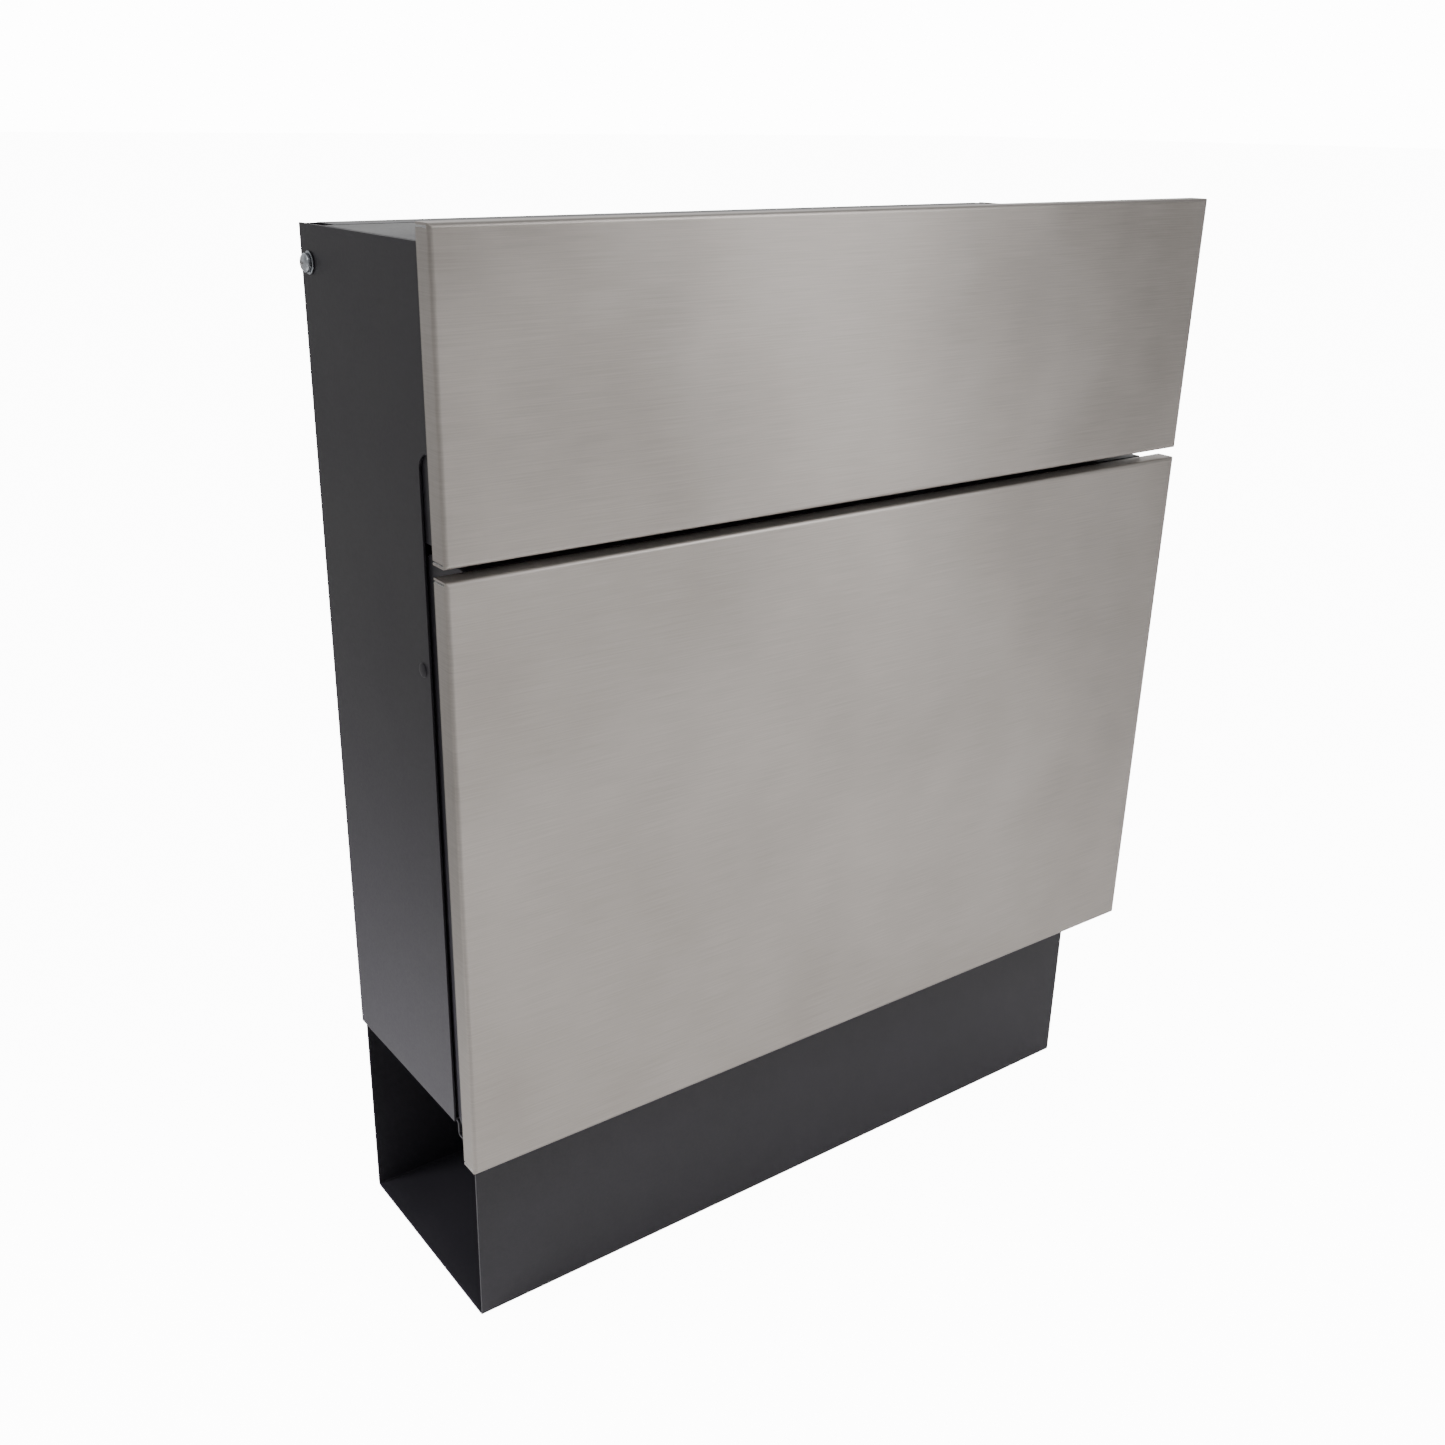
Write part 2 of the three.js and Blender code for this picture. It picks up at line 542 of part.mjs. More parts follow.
/** Lid: a top sheet and an apron behind the stainless panel, side flanges and two hinge ears. */
function lidCover() {
  const top = bodyTop - SHEET / 2;
  const rear = -LID_REAR;
  const apron = lidFront + SHEET / 2;
  const apronEnd = upperPanelBottom + PANEL_SHEET + LID_LAP;
  let cover = bentAcross([[rear, top], [apron, top], [apron, apronEnd]], 2 * lidHalf);
  const under = bodyTop - SHEET - FLANGE;
  for (const { sign } of SIDES) {
    const x = sign * (lidHalf - SHEET / 2);
    const outward = AXIS.x.clone().multiplyScalar(sign);
    const neck = lidPivot.z - LID_EAR_RADIUS;
    const ear = plateAt([[apron, top], [apron, under], [rear - FLANGE, under], [lidPivot.y, neck],
      [lidPivot.y + LID_EAR_RADIUS, lidPivot.z], [rear, top]], x, SHEET);
    const eye = bar(LID_EAR_RADIUS, lidHalf - SHEET, lidHalf, outward, lidPivot);
    const bore = THREAD_RADIUS + RUNNING;
    const hole = bar(bore, lidHalf - SHEET - OVERCUT, lidHalf + OVERCUT, outward, lidPivot);
    cover = cover.add(ear).add(eye).subtract(hole);
  }
  for (const { x, z } of lidStudPlaces) {
    const place = new THREE.Vector3(x, lidFront, z);
    cover = cover.subtract(bar(THREAD_RADIUS + RUNNING, -OVERCUT, SHEET + OVERCUT, AXIS.y, place));
  }
  return cover;
}

/** Stainless tray: four returns, with an open slit between two returns at each corner. */
function stainlessPanel(height) {
  let panel = foldedTray(panelWidth, height, PANEL_RETURN, PANEL_SHEET, PANEL_FOLD);
  const edge = height / 2 - PANEL_SHEET;
  for (const { sign } of SIDES) {
    const x = Math.min(sign * (panelWidth / 2 - PANEL_SHEET), sign * (panelWidth / 2 + OVERCUT));
    const wide = PANEL_SHEET + OVERCUT;
    for (const z of [edge - PANEL_SLIT, -edge]) {
      panel = panel.subtract(block(x, x + wide, PANEL_FOLD, PANEL_RETURN + OVERCUT, z, z + PANEL_SLIT));
    }
  }
  return panel;
}

const screwFace = halfBody + 2 * GAP + WASHER_THICKNESS; // under the head of a lid screw
const bushOuter = lidHalf - SHEET - GAP;
const nutOuter = bushOuter - BUSH_THICKNESS - GAP;

/** Hinge screw about the Y axis: pan head outside the side sheet, shank through the lid's ear. */
function hingeScrew() {
  const end = nutOuter - NUT_HEIGHT - 1;
  const profile = [[0, end], [THREAD_RADIUS, end], [THREAD_RADIUS, screwFace],
    ...domeProfile(SCREW_HEAD_RADIUS, SCREW_HEAD_HEIGHT, screwFace)];
  return turned(profile, AXIS.y, ORIGIN);
}

/** Flat ring about the Y axis, from y = 0. */
function ring(outerRadius, boreRadius, thickness) {
  const body = bar(outerRadius, 0, thickness, AXIS.y, ORIGIN);
  return body.subtract(bar(boreRadius, -OVERCUT, thickness + OVERCUT, AXIS.y, ORIGIN));
}

/** Rubber stop about the Y axis, slightly tapered, with a worn edge. */
function lidBumper(length) {
  const nose = BUMPER_RADIUS * 0.9;
  return turned([[0, 0], [BUMPER_RADIUS, 0], [nose, length - 1], [nose - 1, length - 0.2], [0, length]],
    AXIS.y, ORIGIN);
}

/** Rubber stop on the inside of a side sheet, behind the rear edge of the closed door's flange. */
function doorStop(sign) {
  const rim = DOOR_STOP_RADIUS - 1;
  return turned([[0, 0], [rim, 0], [DOOR_STOP_RADIUS, 1], [DOOR_STOP_RADIUS, DOOR_STOP_LENGTH],
    [0, DOOR_STOP_LENGTH]], AXIS.x.clone().multiplyScalar(sign), ORIGIN);
}

// ---------------------------------------------------------------- door

const doorStudPlaces = SIDES.flatMap(({ sign }) => [
  { x: sign * (doorHalf - DOOR_STUD_INSET_X), z: lowerPanelTop - DOOR_STUD_INSET_Z },
  { x: sign * (doorHalf - DOOR_STUD_INSET_X), z: lowerPanelBottom + DOOR_STUD_INSET_Z },
]);

/** Slot in the door's top flange that the lock's cam swings down through. */
function camSlot() {
  const side = CAM_WIDTH / 2 + 2 * CAM_CLEARANCE;
  const across = Math.sqrt(camReach ** 2 - (lockAxis.z - doorTop) ** 2) + side;
  const rear = camFront + CAM_THICKNESS + CAM_CLEARANCE;
  return block(-side, across, camFront - CAM_CLEARANCE, rear, doorTop - SHEET - BEND, doorTop + OVERCUT);
}

/** Door shell: a painted tray whose side flanges run inside the side sheets. */
function doorShell() {
  const height = doorTop - doorBottom;
  const inner = doorHalf - SHEET;
  const place = new THREE.Vector3(0, shellFront, (doorTop + doorBottom) / 2);
  let shell = foldedTray(2 * doorHalf, height, DOOR_FLANGE, SHEET, DOOR_FOLD, place);
  const rear = shellFront + DOOR_FLANGE + OVERCUT;
  const over = doorTop + OVERCUT;
  const under = doorBottom - OVERCUT;
  const topRear = shellFront + DOOR_TOP_FLANGE;
  const lowRear = shellFront + DOOR_BOTTOM_FLANGE;
  shell = shell
    .subtract(block(-inner, inner, topRear, rear, doorTop - SHEET - OVERCUT, over))
    .subtract(block(-inner, inner, lowRear, rear, under, doorBottom + SHEET + OVERCUT));
  const heel = DOOR_FLANGE - DOOR_BOTTOM_FLANGE;
  const corners = [
    [[rear, over], [rear - OVERCUT - DOOR_CORNER, over], [rear, doorTop - DOOR_CORNER - OVERCUT]],
    [[rear, under], [lowRear - OVERCUT, under], [rear, doorBottom + heel + OVERCUT]],
  ];
  for (const corner of corners) shell = shell.subtract(plateAt(corner, 0, BODY_WIDTH));
  for (const { sign } of SIDES) {
    const outward = AXIS.x.clone().multiplyScalar(sign);
    const notch = Math.min(sign * inner, sign * (inner - BRACKET_NOTCH));
    const notchTop = doorPivot.z + BRACKET_EYE + BRACKET_UNDERCUT;
    const domeRadius = DIMPLE_RADIUS * DIMPLE_INNER;
    const dome = domeProfile(domeRadius, SWING - GAP, doorHalf);
    shell = shell
      .subtract(block(notch, notch + BRACKET_NOTCH, shellFront - OVERCUT, rear, under, notchTop))
      .subtract(bar(PIN_RADIUS + RUNNING, inner - OVERCUT, doorHalf + OVERCUT, outward, doorPivot))
      .add(turned([[0, inner], [domeRadius, inner], ...dome], outward, dimplePlace));
  }
  for (const { x, z } of doorStudPlaces) {
    const hole = new THREE.Vector3(x, shellFront, z);
    shell = shell.subtract(bar(THREAD_RADIUS + RUNNING, -OVERCUT, SHEET + OVERCUT, AXIS.y, hole));
  }
  return shell.subtract(camSlot());
}

// ---------------------------------------------------------------- lock

/** Lock housing: a flanged, threaded barrel bored for the plug. */
function lockHousing() {
  const rim = -GAP;
  const face = rim - LOCK_HEAD_HEIGHT;
  const bore = LOCK_PLUG_RADIUS + RUNNING;
  return turned([
    [bore, face], [LOCK_HEAD_RADIUS - LOCK_CHAMFER, face], [LOCK_HEAD_RADIUS, face + LOCK_CHAMFER],
    [LOCK_HEAD_RADIUS, rim], [LOCK_BARREL_RADIUS, rim], [LOCK_BARREL_RADIUS, LOCK_BARREL_LENGTH],
    [bore, LOCK_BARREL_LENGTH], [bore, face],
  ], AXIS.y, ORIGIN, LOCK_ROUND);
}

/** Lock plug: keyway in front, square end behind with a screw hole. */
function lockPlug() {
  const end = LOCK_BARREL_LENGTH + CAM_THICKNESS;
  const face = PLUG_RECESS - LOCK_HEAD_HEIGHT - GAP;
  const square = PLUG_SQUARE / 2;
  const wide = KEYWAY_WIDTH / 2;
  const tall = KEYWAY_HEIGHT / 2;
  return bar(LOCK_PLUG_RADIUS, face, LOCK_BARREL_LENGTH - GAP, AXIS.y, ORIGIN)
    .add(block(-square, square, LOCK_BARREL_LENGTH - OVERCUT, end, -square, square))
    .subtract(block(-wide, wide, face - OVERCUT, face + KEYWAY_DEPTH, -tall, tall))
    .subtract(bar(THREAD_RADIUS + RUNNING, end - CAM_SCREW_LENGTH, end + OVERCUT, AXIS.y, ORIGIN));
}

/** Cam: a flat arm with rounded corners, pointing along +X while the lock is open. */
function lockCam() {
  const half = CAM_WIDTH / 2;
  const corner = half / 2;
  const tip = camReach - corner;
  const shape = new THREE.Shape();
  shape.absarc(0, 0, half, Math.PI / 2, 1.5 * Math.PI, false);
  shape.lineTo(tip, -half);
  shape.absarc(tip, -corner, corner, 1.5 * Math.PI, 2 * Math.PI, false);
  shape.absarc(tip, corner, corner, 0, Math.PI / 2, false);
  const hole = PLUG_SQUARE / 2 + RUNNING;
  return prism(shape, CAM_THICKNESS, AXIS.x, AXIS.z)
    .subtract(block(-hole, hole, -CAM_THICKNESS, CAM_THICKNESS, -hole, hole));
}

/** Cam screw: flanged hexagon head behind the cam, shank in the plug. */
function camScrew() {
  return bar(CAM_SCREW_CORNER, 0, CAM_SCREW_HEAD, AXIS.y, ORIGIN, 6)
    .add(bar(CAM_SCREW_FLANGE_RADIUS, 0, CAM_SCREW_FLANGE, AXIS.y, ORIGIN))
    .add(bar(THREAD_RADIUS, OVERCUT - CAM_SCREW_LENGTH, CAM_SCREW_FLANGE / 2, AXIS.y, ORIGIN));
}

// ---------------------------------------------------------------- assembly

const mailbox = new THREE.Group();
const box = new THREE.Group();
const lid = new THREE.Group();
const door = new THREE.Group();
const lockRotor = new THREE.Group();
mailbox.add(box, lid, door, lockRotor);

box.add(piece('back_wall', 'paint', backWall()));
box.add(piece('floor_pan', 'paint', floorPan()));
box.add(piece('front_band', 'paint', frontBand()));
box.add(piece('newspaper_compartment', 'paint', newspaperCompartment()));

rivetPlaces.forEach(({ x, y, bracket }, index) => {
  const seat = bracket ? floorTop + GAP + BRACKET_SHEET : floorTop;
  const grip = seat - bodyBottom + GAP + SHEET + 2 * GAP;
  box.add(at(piece(`floor_rivet_${index + 1}`, 'zinc', rivet(grip)), x, y, seat + GAP));
});

for (const { name, sign } of SIDES) {
  box.add(piece(`side_${name}`, 'paint', sideSheet(sign)));
  box.add(piece(`hinge_bracket_${name}`, 'zinc', hingeBracket(sign)));
  box.add(piece(`door_pin_${name}`, 'zinc', hingePin(sign)));

  const lidHinge = new THREE.Group();
  lidHinge.position.copy(lidPivot);
  lidHinge.rotation.z = -sign * (Math.PI / 2);
  const bore = THREAD_RADIUS + RUNNING;
  lidHinge.add(piece(`lid_screw_${name}`, 'zinc', hingeScrew()));
  const washer = ring(WASHER_RADIUS, bore, WASHER_THICKNESS);
  lidHinge.add(at(piece(`lid_washer_${name}`, 'zinc', washer), 0, halfBody + GAP, 0));
  const bush = ring(BUSH_RADIUS, bore, BUSH_THICKNESS);
  lidHinge.add(at(piece(`lid_bush_${name}`, 'nylon', bush), 0, bushOuter - BUSH_THICKNESS, 0));
  const nut = hexNut(NUT_ACROSS_FLATS, NUT_HEIGHT, bore);
  lidHinge.add(at(piece(`lid_screw_nut_${name}`, 'zinc', nut), 0, nutOuter - NUT_HEIGHT, 0));
  box.add(lidHinge);

  const bumperLength = bandFront - GAP - lidFront - SHEET - 2 * GAP;
  const bumper = piece(`lid_bumper_${name}`, 'rubber', lidBumper(bumperLength));
  bumper.rotation.z = Math.PI;
  box.add(at(bumper, sign * (lidHalf - BUMPER_INSET), bandFront - GAP, bandBottom + BUMPER_RISE));
  const stop = piece(`door_stop_${name}`, 'rubber', doorStop(sign));
  const stopY = shellFront + DOOR_FLANGE + GAP + DOOR_STOP_RADIUS;
  box.add(at(stop, sign * (innerFace - GAP - DOOR_STOP_LENGTH), stopY, DOOR_STOP_Z));
}

box.add(at(piece('lock_housing', 'zinc', lockHousing()), lockAxis.x, lockAxis.y, lockAxis.z));
const lockNut = hexNut(LOCK_NUT_ACROSS_FLATS, LOCK_NUT_HEIGHT, LOCK_BARREL_RADIUS + RUNNING, LOCK_ROUND);
box.add(at(piece('lock_nut', 'zinc', lockNut), lockAxis.x, lockAxis.y + SHEET + GAP, lockAxis.z));

lid.add(piece('lid_cover', 'paint', lidCover()));
const upperMiddle = (upperPanelTop + upperPanelBottom) / 2;
lid.add(at(piece('lid_panel', 'stainless', stainlessPanel(UPPER_PANEL_HEIGHT)), 0, frontPlane, upperMiddle));
lidStudPlaces.forEach(({ x, z }, index) => {
  const stud = weldStud(0, LID_STUD_LENGTH);
  lid.add(at(piece(`lid_stud_${index + 1}`, 'stainless', stud), x, panelRear + GAP, z));
  const nut = hexNut(NUT_ACROSS_FLATS, NUT_HEIGHT, THREAD_RADIUS + RUNNING);
  lid.add(at(piece(`lid_nut_${index + 1}`, 'zinc', nut), x, lidFront + SHEET + GAP, z));
});

door.add(piece('door_shell', 'paint', doorShell()));
const lowerMiddle = (lowerPanelTop + lowerPanelBottom) / 2;
door.add(at(piece('door_panel', 'stainless', stainlessPanel(lowerPanelHeight)), 0, frontPlane, lowerMiddle));
doorStudPlaces.forEach(({ x, z }, index) => {
  const shoulder = shellFront - panelRear - 2 * GAP;
  const stud = weldStud(shoulder, shoulder + LID_STUD_LENGTH);
  door.add(at(piece(`door_stud_${index + 1}`, 'stainless', stud), x, panelRear + GAP, z));
  const nut = hexNut(NUT_ACROSS_FLATS, NUT_HEIGHT, THREAD_RADIUS + RUNNING);
  door.add(at(piece(`door_nut_${index + 1}`, 'zinc', nut), x, shellFront + SHEET + GAP, z));
});

lockRotor.position.copy(lockAxis);
lockRotor.add(piece('lock_plug', 'zinc', lockPlug()));
const camMiddle = LOCK_BARREL_LENGTH + GAP + CAM_THICKNESS / 2;
lockRotor.add(at(piece('lock_cam', 'zinc', lockCam()), 0, camMiddle, 0));
lockRotor.add(at(piece('cam_screw', 'zinc', camScrew()), 0, camMiddle + CAM_THICKNESS / 2 + GAP, 0));

export default mailbox;
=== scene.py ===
"""Looks of a wall mounted letter box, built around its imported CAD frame.

Painted sheet-steel body, stainless-fronted lid and drop-down door, cam lock and newspaper
compartment. Everything is in metres in the frame of the CAD model: X to the right, Y into the
wall, Z up. Sizes in the classes are millimetres, as on a workshop drawing.
"""

import sys

import json
import logging
import math
from dataclasses import dataclass, field
from enum import Enum
from typing import Any, Iterable, Sequence

import bmesh
import bpy
from mathutils import Matrix, Vector

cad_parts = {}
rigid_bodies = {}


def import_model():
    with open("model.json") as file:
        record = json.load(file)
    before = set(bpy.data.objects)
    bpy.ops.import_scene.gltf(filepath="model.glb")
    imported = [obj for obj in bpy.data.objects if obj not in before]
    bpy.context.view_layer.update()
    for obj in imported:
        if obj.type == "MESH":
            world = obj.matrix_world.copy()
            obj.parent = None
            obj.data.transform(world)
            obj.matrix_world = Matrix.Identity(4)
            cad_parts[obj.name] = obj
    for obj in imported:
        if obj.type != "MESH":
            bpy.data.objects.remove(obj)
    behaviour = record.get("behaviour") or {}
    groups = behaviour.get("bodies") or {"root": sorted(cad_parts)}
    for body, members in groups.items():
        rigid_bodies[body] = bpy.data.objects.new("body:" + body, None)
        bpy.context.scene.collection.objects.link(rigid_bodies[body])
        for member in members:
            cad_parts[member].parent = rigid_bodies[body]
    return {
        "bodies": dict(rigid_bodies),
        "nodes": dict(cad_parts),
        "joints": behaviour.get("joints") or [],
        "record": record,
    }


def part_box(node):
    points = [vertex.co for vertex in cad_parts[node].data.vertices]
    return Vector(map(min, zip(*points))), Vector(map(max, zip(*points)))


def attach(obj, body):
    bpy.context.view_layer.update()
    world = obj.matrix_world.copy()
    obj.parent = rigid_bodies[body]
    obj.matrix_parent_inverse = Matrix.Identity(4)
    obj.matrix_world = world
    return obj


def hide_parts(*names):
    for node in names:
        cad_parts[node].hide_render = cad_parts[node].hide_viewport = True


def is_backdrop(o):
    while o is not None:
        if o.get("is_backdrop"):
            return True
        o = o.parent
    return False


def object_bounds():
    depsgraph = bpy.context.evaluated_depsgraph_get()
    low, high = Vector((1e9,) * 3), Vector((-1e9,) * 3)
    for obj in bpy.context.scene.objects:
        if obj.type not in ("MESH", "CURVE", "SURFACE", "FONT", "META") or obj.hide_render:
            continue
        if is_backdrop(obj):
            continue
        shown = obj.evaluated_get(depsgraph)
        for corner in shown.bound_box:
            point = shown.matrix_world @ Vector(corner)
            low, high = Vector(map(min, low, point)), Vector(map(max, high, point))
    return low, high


MM = 0.001
WELD = 1e-6  # vertices closer than this, in metres, become one
SMOOTH_DEG = 32.0  # edges that bend less than this are shaded smooth
NOISE_SPAN = (0.7, 1.3)  # where the sum of two noises mostly lies
TRAY_STUDS = range(1, 5)  # numbers of the studs and nuts behind each tray
MATH = "ShaderNodeMath"
LOG = logging.getLogger("letter_box")

Object = bpy.types.Object
Point = Sequence[float]
Pair = tuple[float, float]
Triple = tuple[float, float, float]
Quad = tuple[float, float, float, float]


class Body(Enum):
    """The rigid bodies of the frame that pieces ride on."""

    BOX = "box"
    LID = "lid"
    DOOR = "door"
    LOCK_ROTOR = "lock_rotor"


class Side(Enum):
    """The two sides of the box, as seen from the front, with the sign of their X."""

    LEFT = -1
    RIGHT = 1

    @property
    def tag(self) -> str:
        """The word used in names of nodes and pieces."""
        return self.name.lower()


# ---------------- nodes and colours


def linear(code: str) -> Quad:
    """Turns an sRGB hex colour into linear RGBA.

    Args:
        code: colour such as "#3a3b3f".

    Returns:
        Linear red, green, blue and an alpha of 1.
    """
    channels = [int(code[i : i + 2], 16) / 255 for i in (1, 3, 5)]
    lit = [c / 12.92 if c <= 0.04045 else ((c + 0.055) / 1.055) ** 2.4 for c in channels]
    return (lit[0], lit[1], lit[2], 1.0)


def add_node(tree: Any, kind: str, wires: dict | tuple = (), **settings: Any) -> Any:
    """Adds one node with its settings, fixed inputs and links.

    Args:
        tree: node tree of a material, the world or a modifier.
        kind: Blender's type name of the node.
        wires: a value, or the socket that feeds it, for each input: by name or index, or in order.
        **settings: properties of the node itself.

    Returns:
        The new node.
    """
    node = tree.nodes.new(kind)
    for key, value in settings.items():
        setattr(node, key, value)
    for key, value in wires.items() if isinstance(wires, dict) else enumerate(wires):
        if isinstance(value, bpy.types.NodeSocket):
            tree.links.new(value, node.inputs[key])
        else:
            node.inputs[key].default_value = value
    return node


# ---------------- finishes


@dataclass(frozen=True)
class Finish:
    """A finish: two colours that it drifts between, its gloss, and the grain of its surface."""

    name: str
    slot: str
    light: str
    dark: str
    roughness: float
    roughness_drift: float
    grain_mm: Triple
    cloud_mm: float
    relief_um: float
    metallic: float = 0.0
    anisotropy: float = 0.0
    shine: float = 0.5

    def place(self, tree: Any) -> Any:
        """The coordinates that the grain is drawn on: the piece's own, in metres."""
        return add_node(tree, "ShaderNodeTexCoord").outputs["Object"]

    def extra(self, tree: Any, shader: Any) -> None:
        """Further settings of the shader, for finishes that need them."""

    def material(self) -> bpy.types.Material:
        """Builds the material, or returns it if it is already there.

        Returns:
            The node material of this finish.
        """
        known = bpy.data.materials.get(self.name)
        if known:
            return known
        made = bpy.data.materials.new(self.name)
        made.use_nodes = True
        tree = made.node_tree
        tree.nodes.clear()
        spot = self.place(tree)
        scale = tuple(1 / (size * MM) for size in self.grain_mm)
        stretched = add_node(tree, "ShaderNodeMapping", {"Vector": spot, "Scale": scale})
        grain = add_node(
            tree, "ShaderNodeTexNoise",
            {"Vector": stretched.outputs[0], "Scale": 1.0, "Detail": 3.0, "Roughness": 0.6},
        ).outputs[0]
        cloud = add_node(
            tree, "ShaderNodeTexNoise",
            {"Vector": spot, "Scale": 1 / (self.cloud_mm * MM), "Detail": 2.0},
        ).outputs[0]
        both = add_node(tree, MATH, (grain, cloud), operation="ADD").outputs[0]
        least = self.roughness - self.roughness_drift
        most = self.roughness + self.roughness_drift
        share, gloss = (
            add_node(
                tree, "ShaderNodeMapRange",
                {"Value": both, "From Min": NOISE_SPAN[0], "From Max": NOISE_SPAN[1],
                 "To Min": low, "To Max": high},
            ).outputs[0]
            for low, high in ((0.0, 1.0), (least, most))
        )
        colour = add_node(
            tree, "ShaderNodeMix",
            {"Factor": share, 6: linear(self.dark), 7: linear(self.light)}, data_type="RGBA",
        ).outputs[2]
        relief = add_node(
            tree, "ShaderNodeBump",
            {"Height": grain, "Distance": self.relief_um * 1e-6, "Strength": 1.0},
        ).outputs[0]
        shader = add_node(
            tree, "ShaderNodeBsdfPrincipled",
            {
                "Base Color": colour,
                "Roughness": gloss,
                "Normal": relief,
                "Metallic": self.metallic,
                "Anisotropic": self.anisotropy,
                "Specular IOR Level": self.shine,
            },
        )
        self.extra(tree, shader)
        add_node(tree, "ShaderNodeOutputMaterial", {"Surface": shader.outputs[0]})
        return made


@dataclass(frozen=True)
class PowderCoat(Finish):
    """Polyester powder coat, sprayed and stoved: anthracite, satin, with a very fine orange peel
    that breaks up highlights and keeps the flat sheets from looking like glass."""

    name: str = "powder_coat_stoved"
    slot: str = "powder_coat"
    light: str = "#333137"
    dark: str = "#2b2a2f"
    roughness: float = 0.42
    roughness_drift: float = 0.05
    grain_mm: Triple = (1.1, 1.1, 1.1)
    cloud_mm: float = 45.0
    relief_um: float = 9.0
    shine: float = 0.36


@dataclass(frozen=True)
class BrushedStainless(Finish):
    """Stainless sheet ground lengthwise with a belt: fine horizontal scratches that smear what
    the sheet mirrors up and down, while it stays readable from side to side. The real scratches
    are under 0.1 mm; they are drawn at 0.5 mm, the finest that shows."""

    name: str = "stainless_belt_ground"
    slot: str = "brushed_stainless"
    light: str = "#bcb6b1"
    dark: str = "#a9a39e"
    roughness: float = 0.36
    roughness_drift: float = 0.03
    grain_mm: Triple = (28.0, 0.5, 1.0)
    cloud_mm: float = 70.0
    relief_um: float = 1.2
    metallic: float = 1.0
    anisotropy: float = 0.8

    def place(self, tree: Any) -> Any:
        """The flat blank's own coordinates, so that the grain runs round the folds."""
        return add_node(tree, "ShaderNodeUVMap", uv_map=FoldedTray.GRAIN_MAP).outputs[0]

    def extra(self, tree: Any, shader: Any) -> None:
        """Turns the stretched highlight across the scratches.

        Args:
            tree: the material's node tree.
            shader: its shader node.
        """
        along = add_node(
            tree, "ShaderNodeTangent", direction_type="UV_MAP", uv_map=FoldedTray.GRAIN_MAP
        )
        tree.links.new(along.outputs[0], shader.inputs["Tangent"])
        shader.inputs["Anisotropic Rotation"].default_value = FoldedTray.QUARTER_TURN


@dataclass(frozen=True)
class StainlessStud(Finish):
    """Drawn stainless wire, rolled into studs: plain grey metal, a little uneven."""

    name: str = "stainless_rolled"
    slot: str = "stainless_stud"
    light: str = "#c4c0ba"
    dark: str = "#a9a5a0"
    roughness: float = 0.32
    roughness_drift: float = 0.06
    grain_mm: Triple = (0.9, 0.9, 0.9)
    cloud_mm: float = 8.0
    relief_um: float = 3.0
    metallic: float = 1.0


@dataclass(frozen=True)
class ZincPlate(Finish):
    """Bright zinc, electroplated on steel: bluish silver, with soft cloudy patches."""

    name: str = "zinc_electroplated"
    slot: str = "zinc_plate"
    light: str = "#d3d7dc"
    dark: str = "#b3b8be"
    roughness: float = 0.28
    roughness_drift: float = 0.08
    grain_mm: Triple = (1.2, 1.2, 1.2)
    cloud_mm: float = 9.0
    relief_um: float = 2.0
    metallic: float = 1.0


@dataclass(frozen=True)
class NickelPlate(Finish):
    """Nickel plated zinc casting: warm bright silver with tiny casting ripples."""

    name: str = "nickel_plated_casting"
    slot: str = "nickel_plate"
    light: str = "#d6d1c7"
    dark: str = "#c2bcb0"
    roughness: float = 0.2
    roughness_drift: float = 0.05
    grain_mm: Triple = (2.0, 2.0, 2.0)
    cloud_mm: float = 12.0
    relief_um: float = 4.0
    metallic: float = 1.0


@dataclass(frozen=True)
class MouldedNylon(Finish):
    """Natural nylon, injection moulded: milky off-white, faintly mottled."""

    name: str = "nylon_moulded"
    slot: str = "nylon"
    light: str = "#ebe8de"
    dark: str = "#dedacd"
    roughness: float = 0.48
    roughness_drift: float = 0.05
    grain_mm: Triple = (0.8, 0.8, 0.8)
    cloud_mm: float = 5.0
    relief_um: float = 4.0


@dataclass(frozen=True)
class MouldedRubber(Finish):
    """Black rubber, compression moulded: dull, with a dusty bloom."""

    name: str = "rubber_moulded"
    slot: str = "rubber"
    light: str = "#2a2a2c"
    dark: str = "#1b1b1c"
    roughness: float = 0.82
    roughness_drift: float = 0.06
    grain_mm: Triple = (0.5, 0.5, 0.5)
    cloud_mm: float = 4.0
    relief_um: float = 8.0


# ---------------- making meshes


def new_object(name: str, mesh: bpy.types.Mesh) -> Object:
    """Links a mesh into the scene under a name, at the origin.

    Args:
        name: the piece's name.
        mesh: its mesh, in metres in the frame.

    Returns:
        The new object.
    """
    made = bpy.data.objects.new(name, mesh)
    bpy.context.scene.collection.objects.link(made)
    return made


def shape(name: str, points: Iterable[Point], faces: Iterable[Sequence[int]] = (),
          edges: Iterable[Sequence[int]] = ()) -> Object:
    """Makes an object from plain lists, in millimetres.

    Args:
        name: the object's name.
        points: its vertices.
        faces: its faces.
        edges: its loose edges.

    Returns:
        The new object, in metres.
    """
    mesh = bpy.data.meshes.new(name)
    mesh.from_pydata([Vector(p) * MM for p in points], list(edges), list(faces))
    mesh.update()
    return new_object(name, mesh)


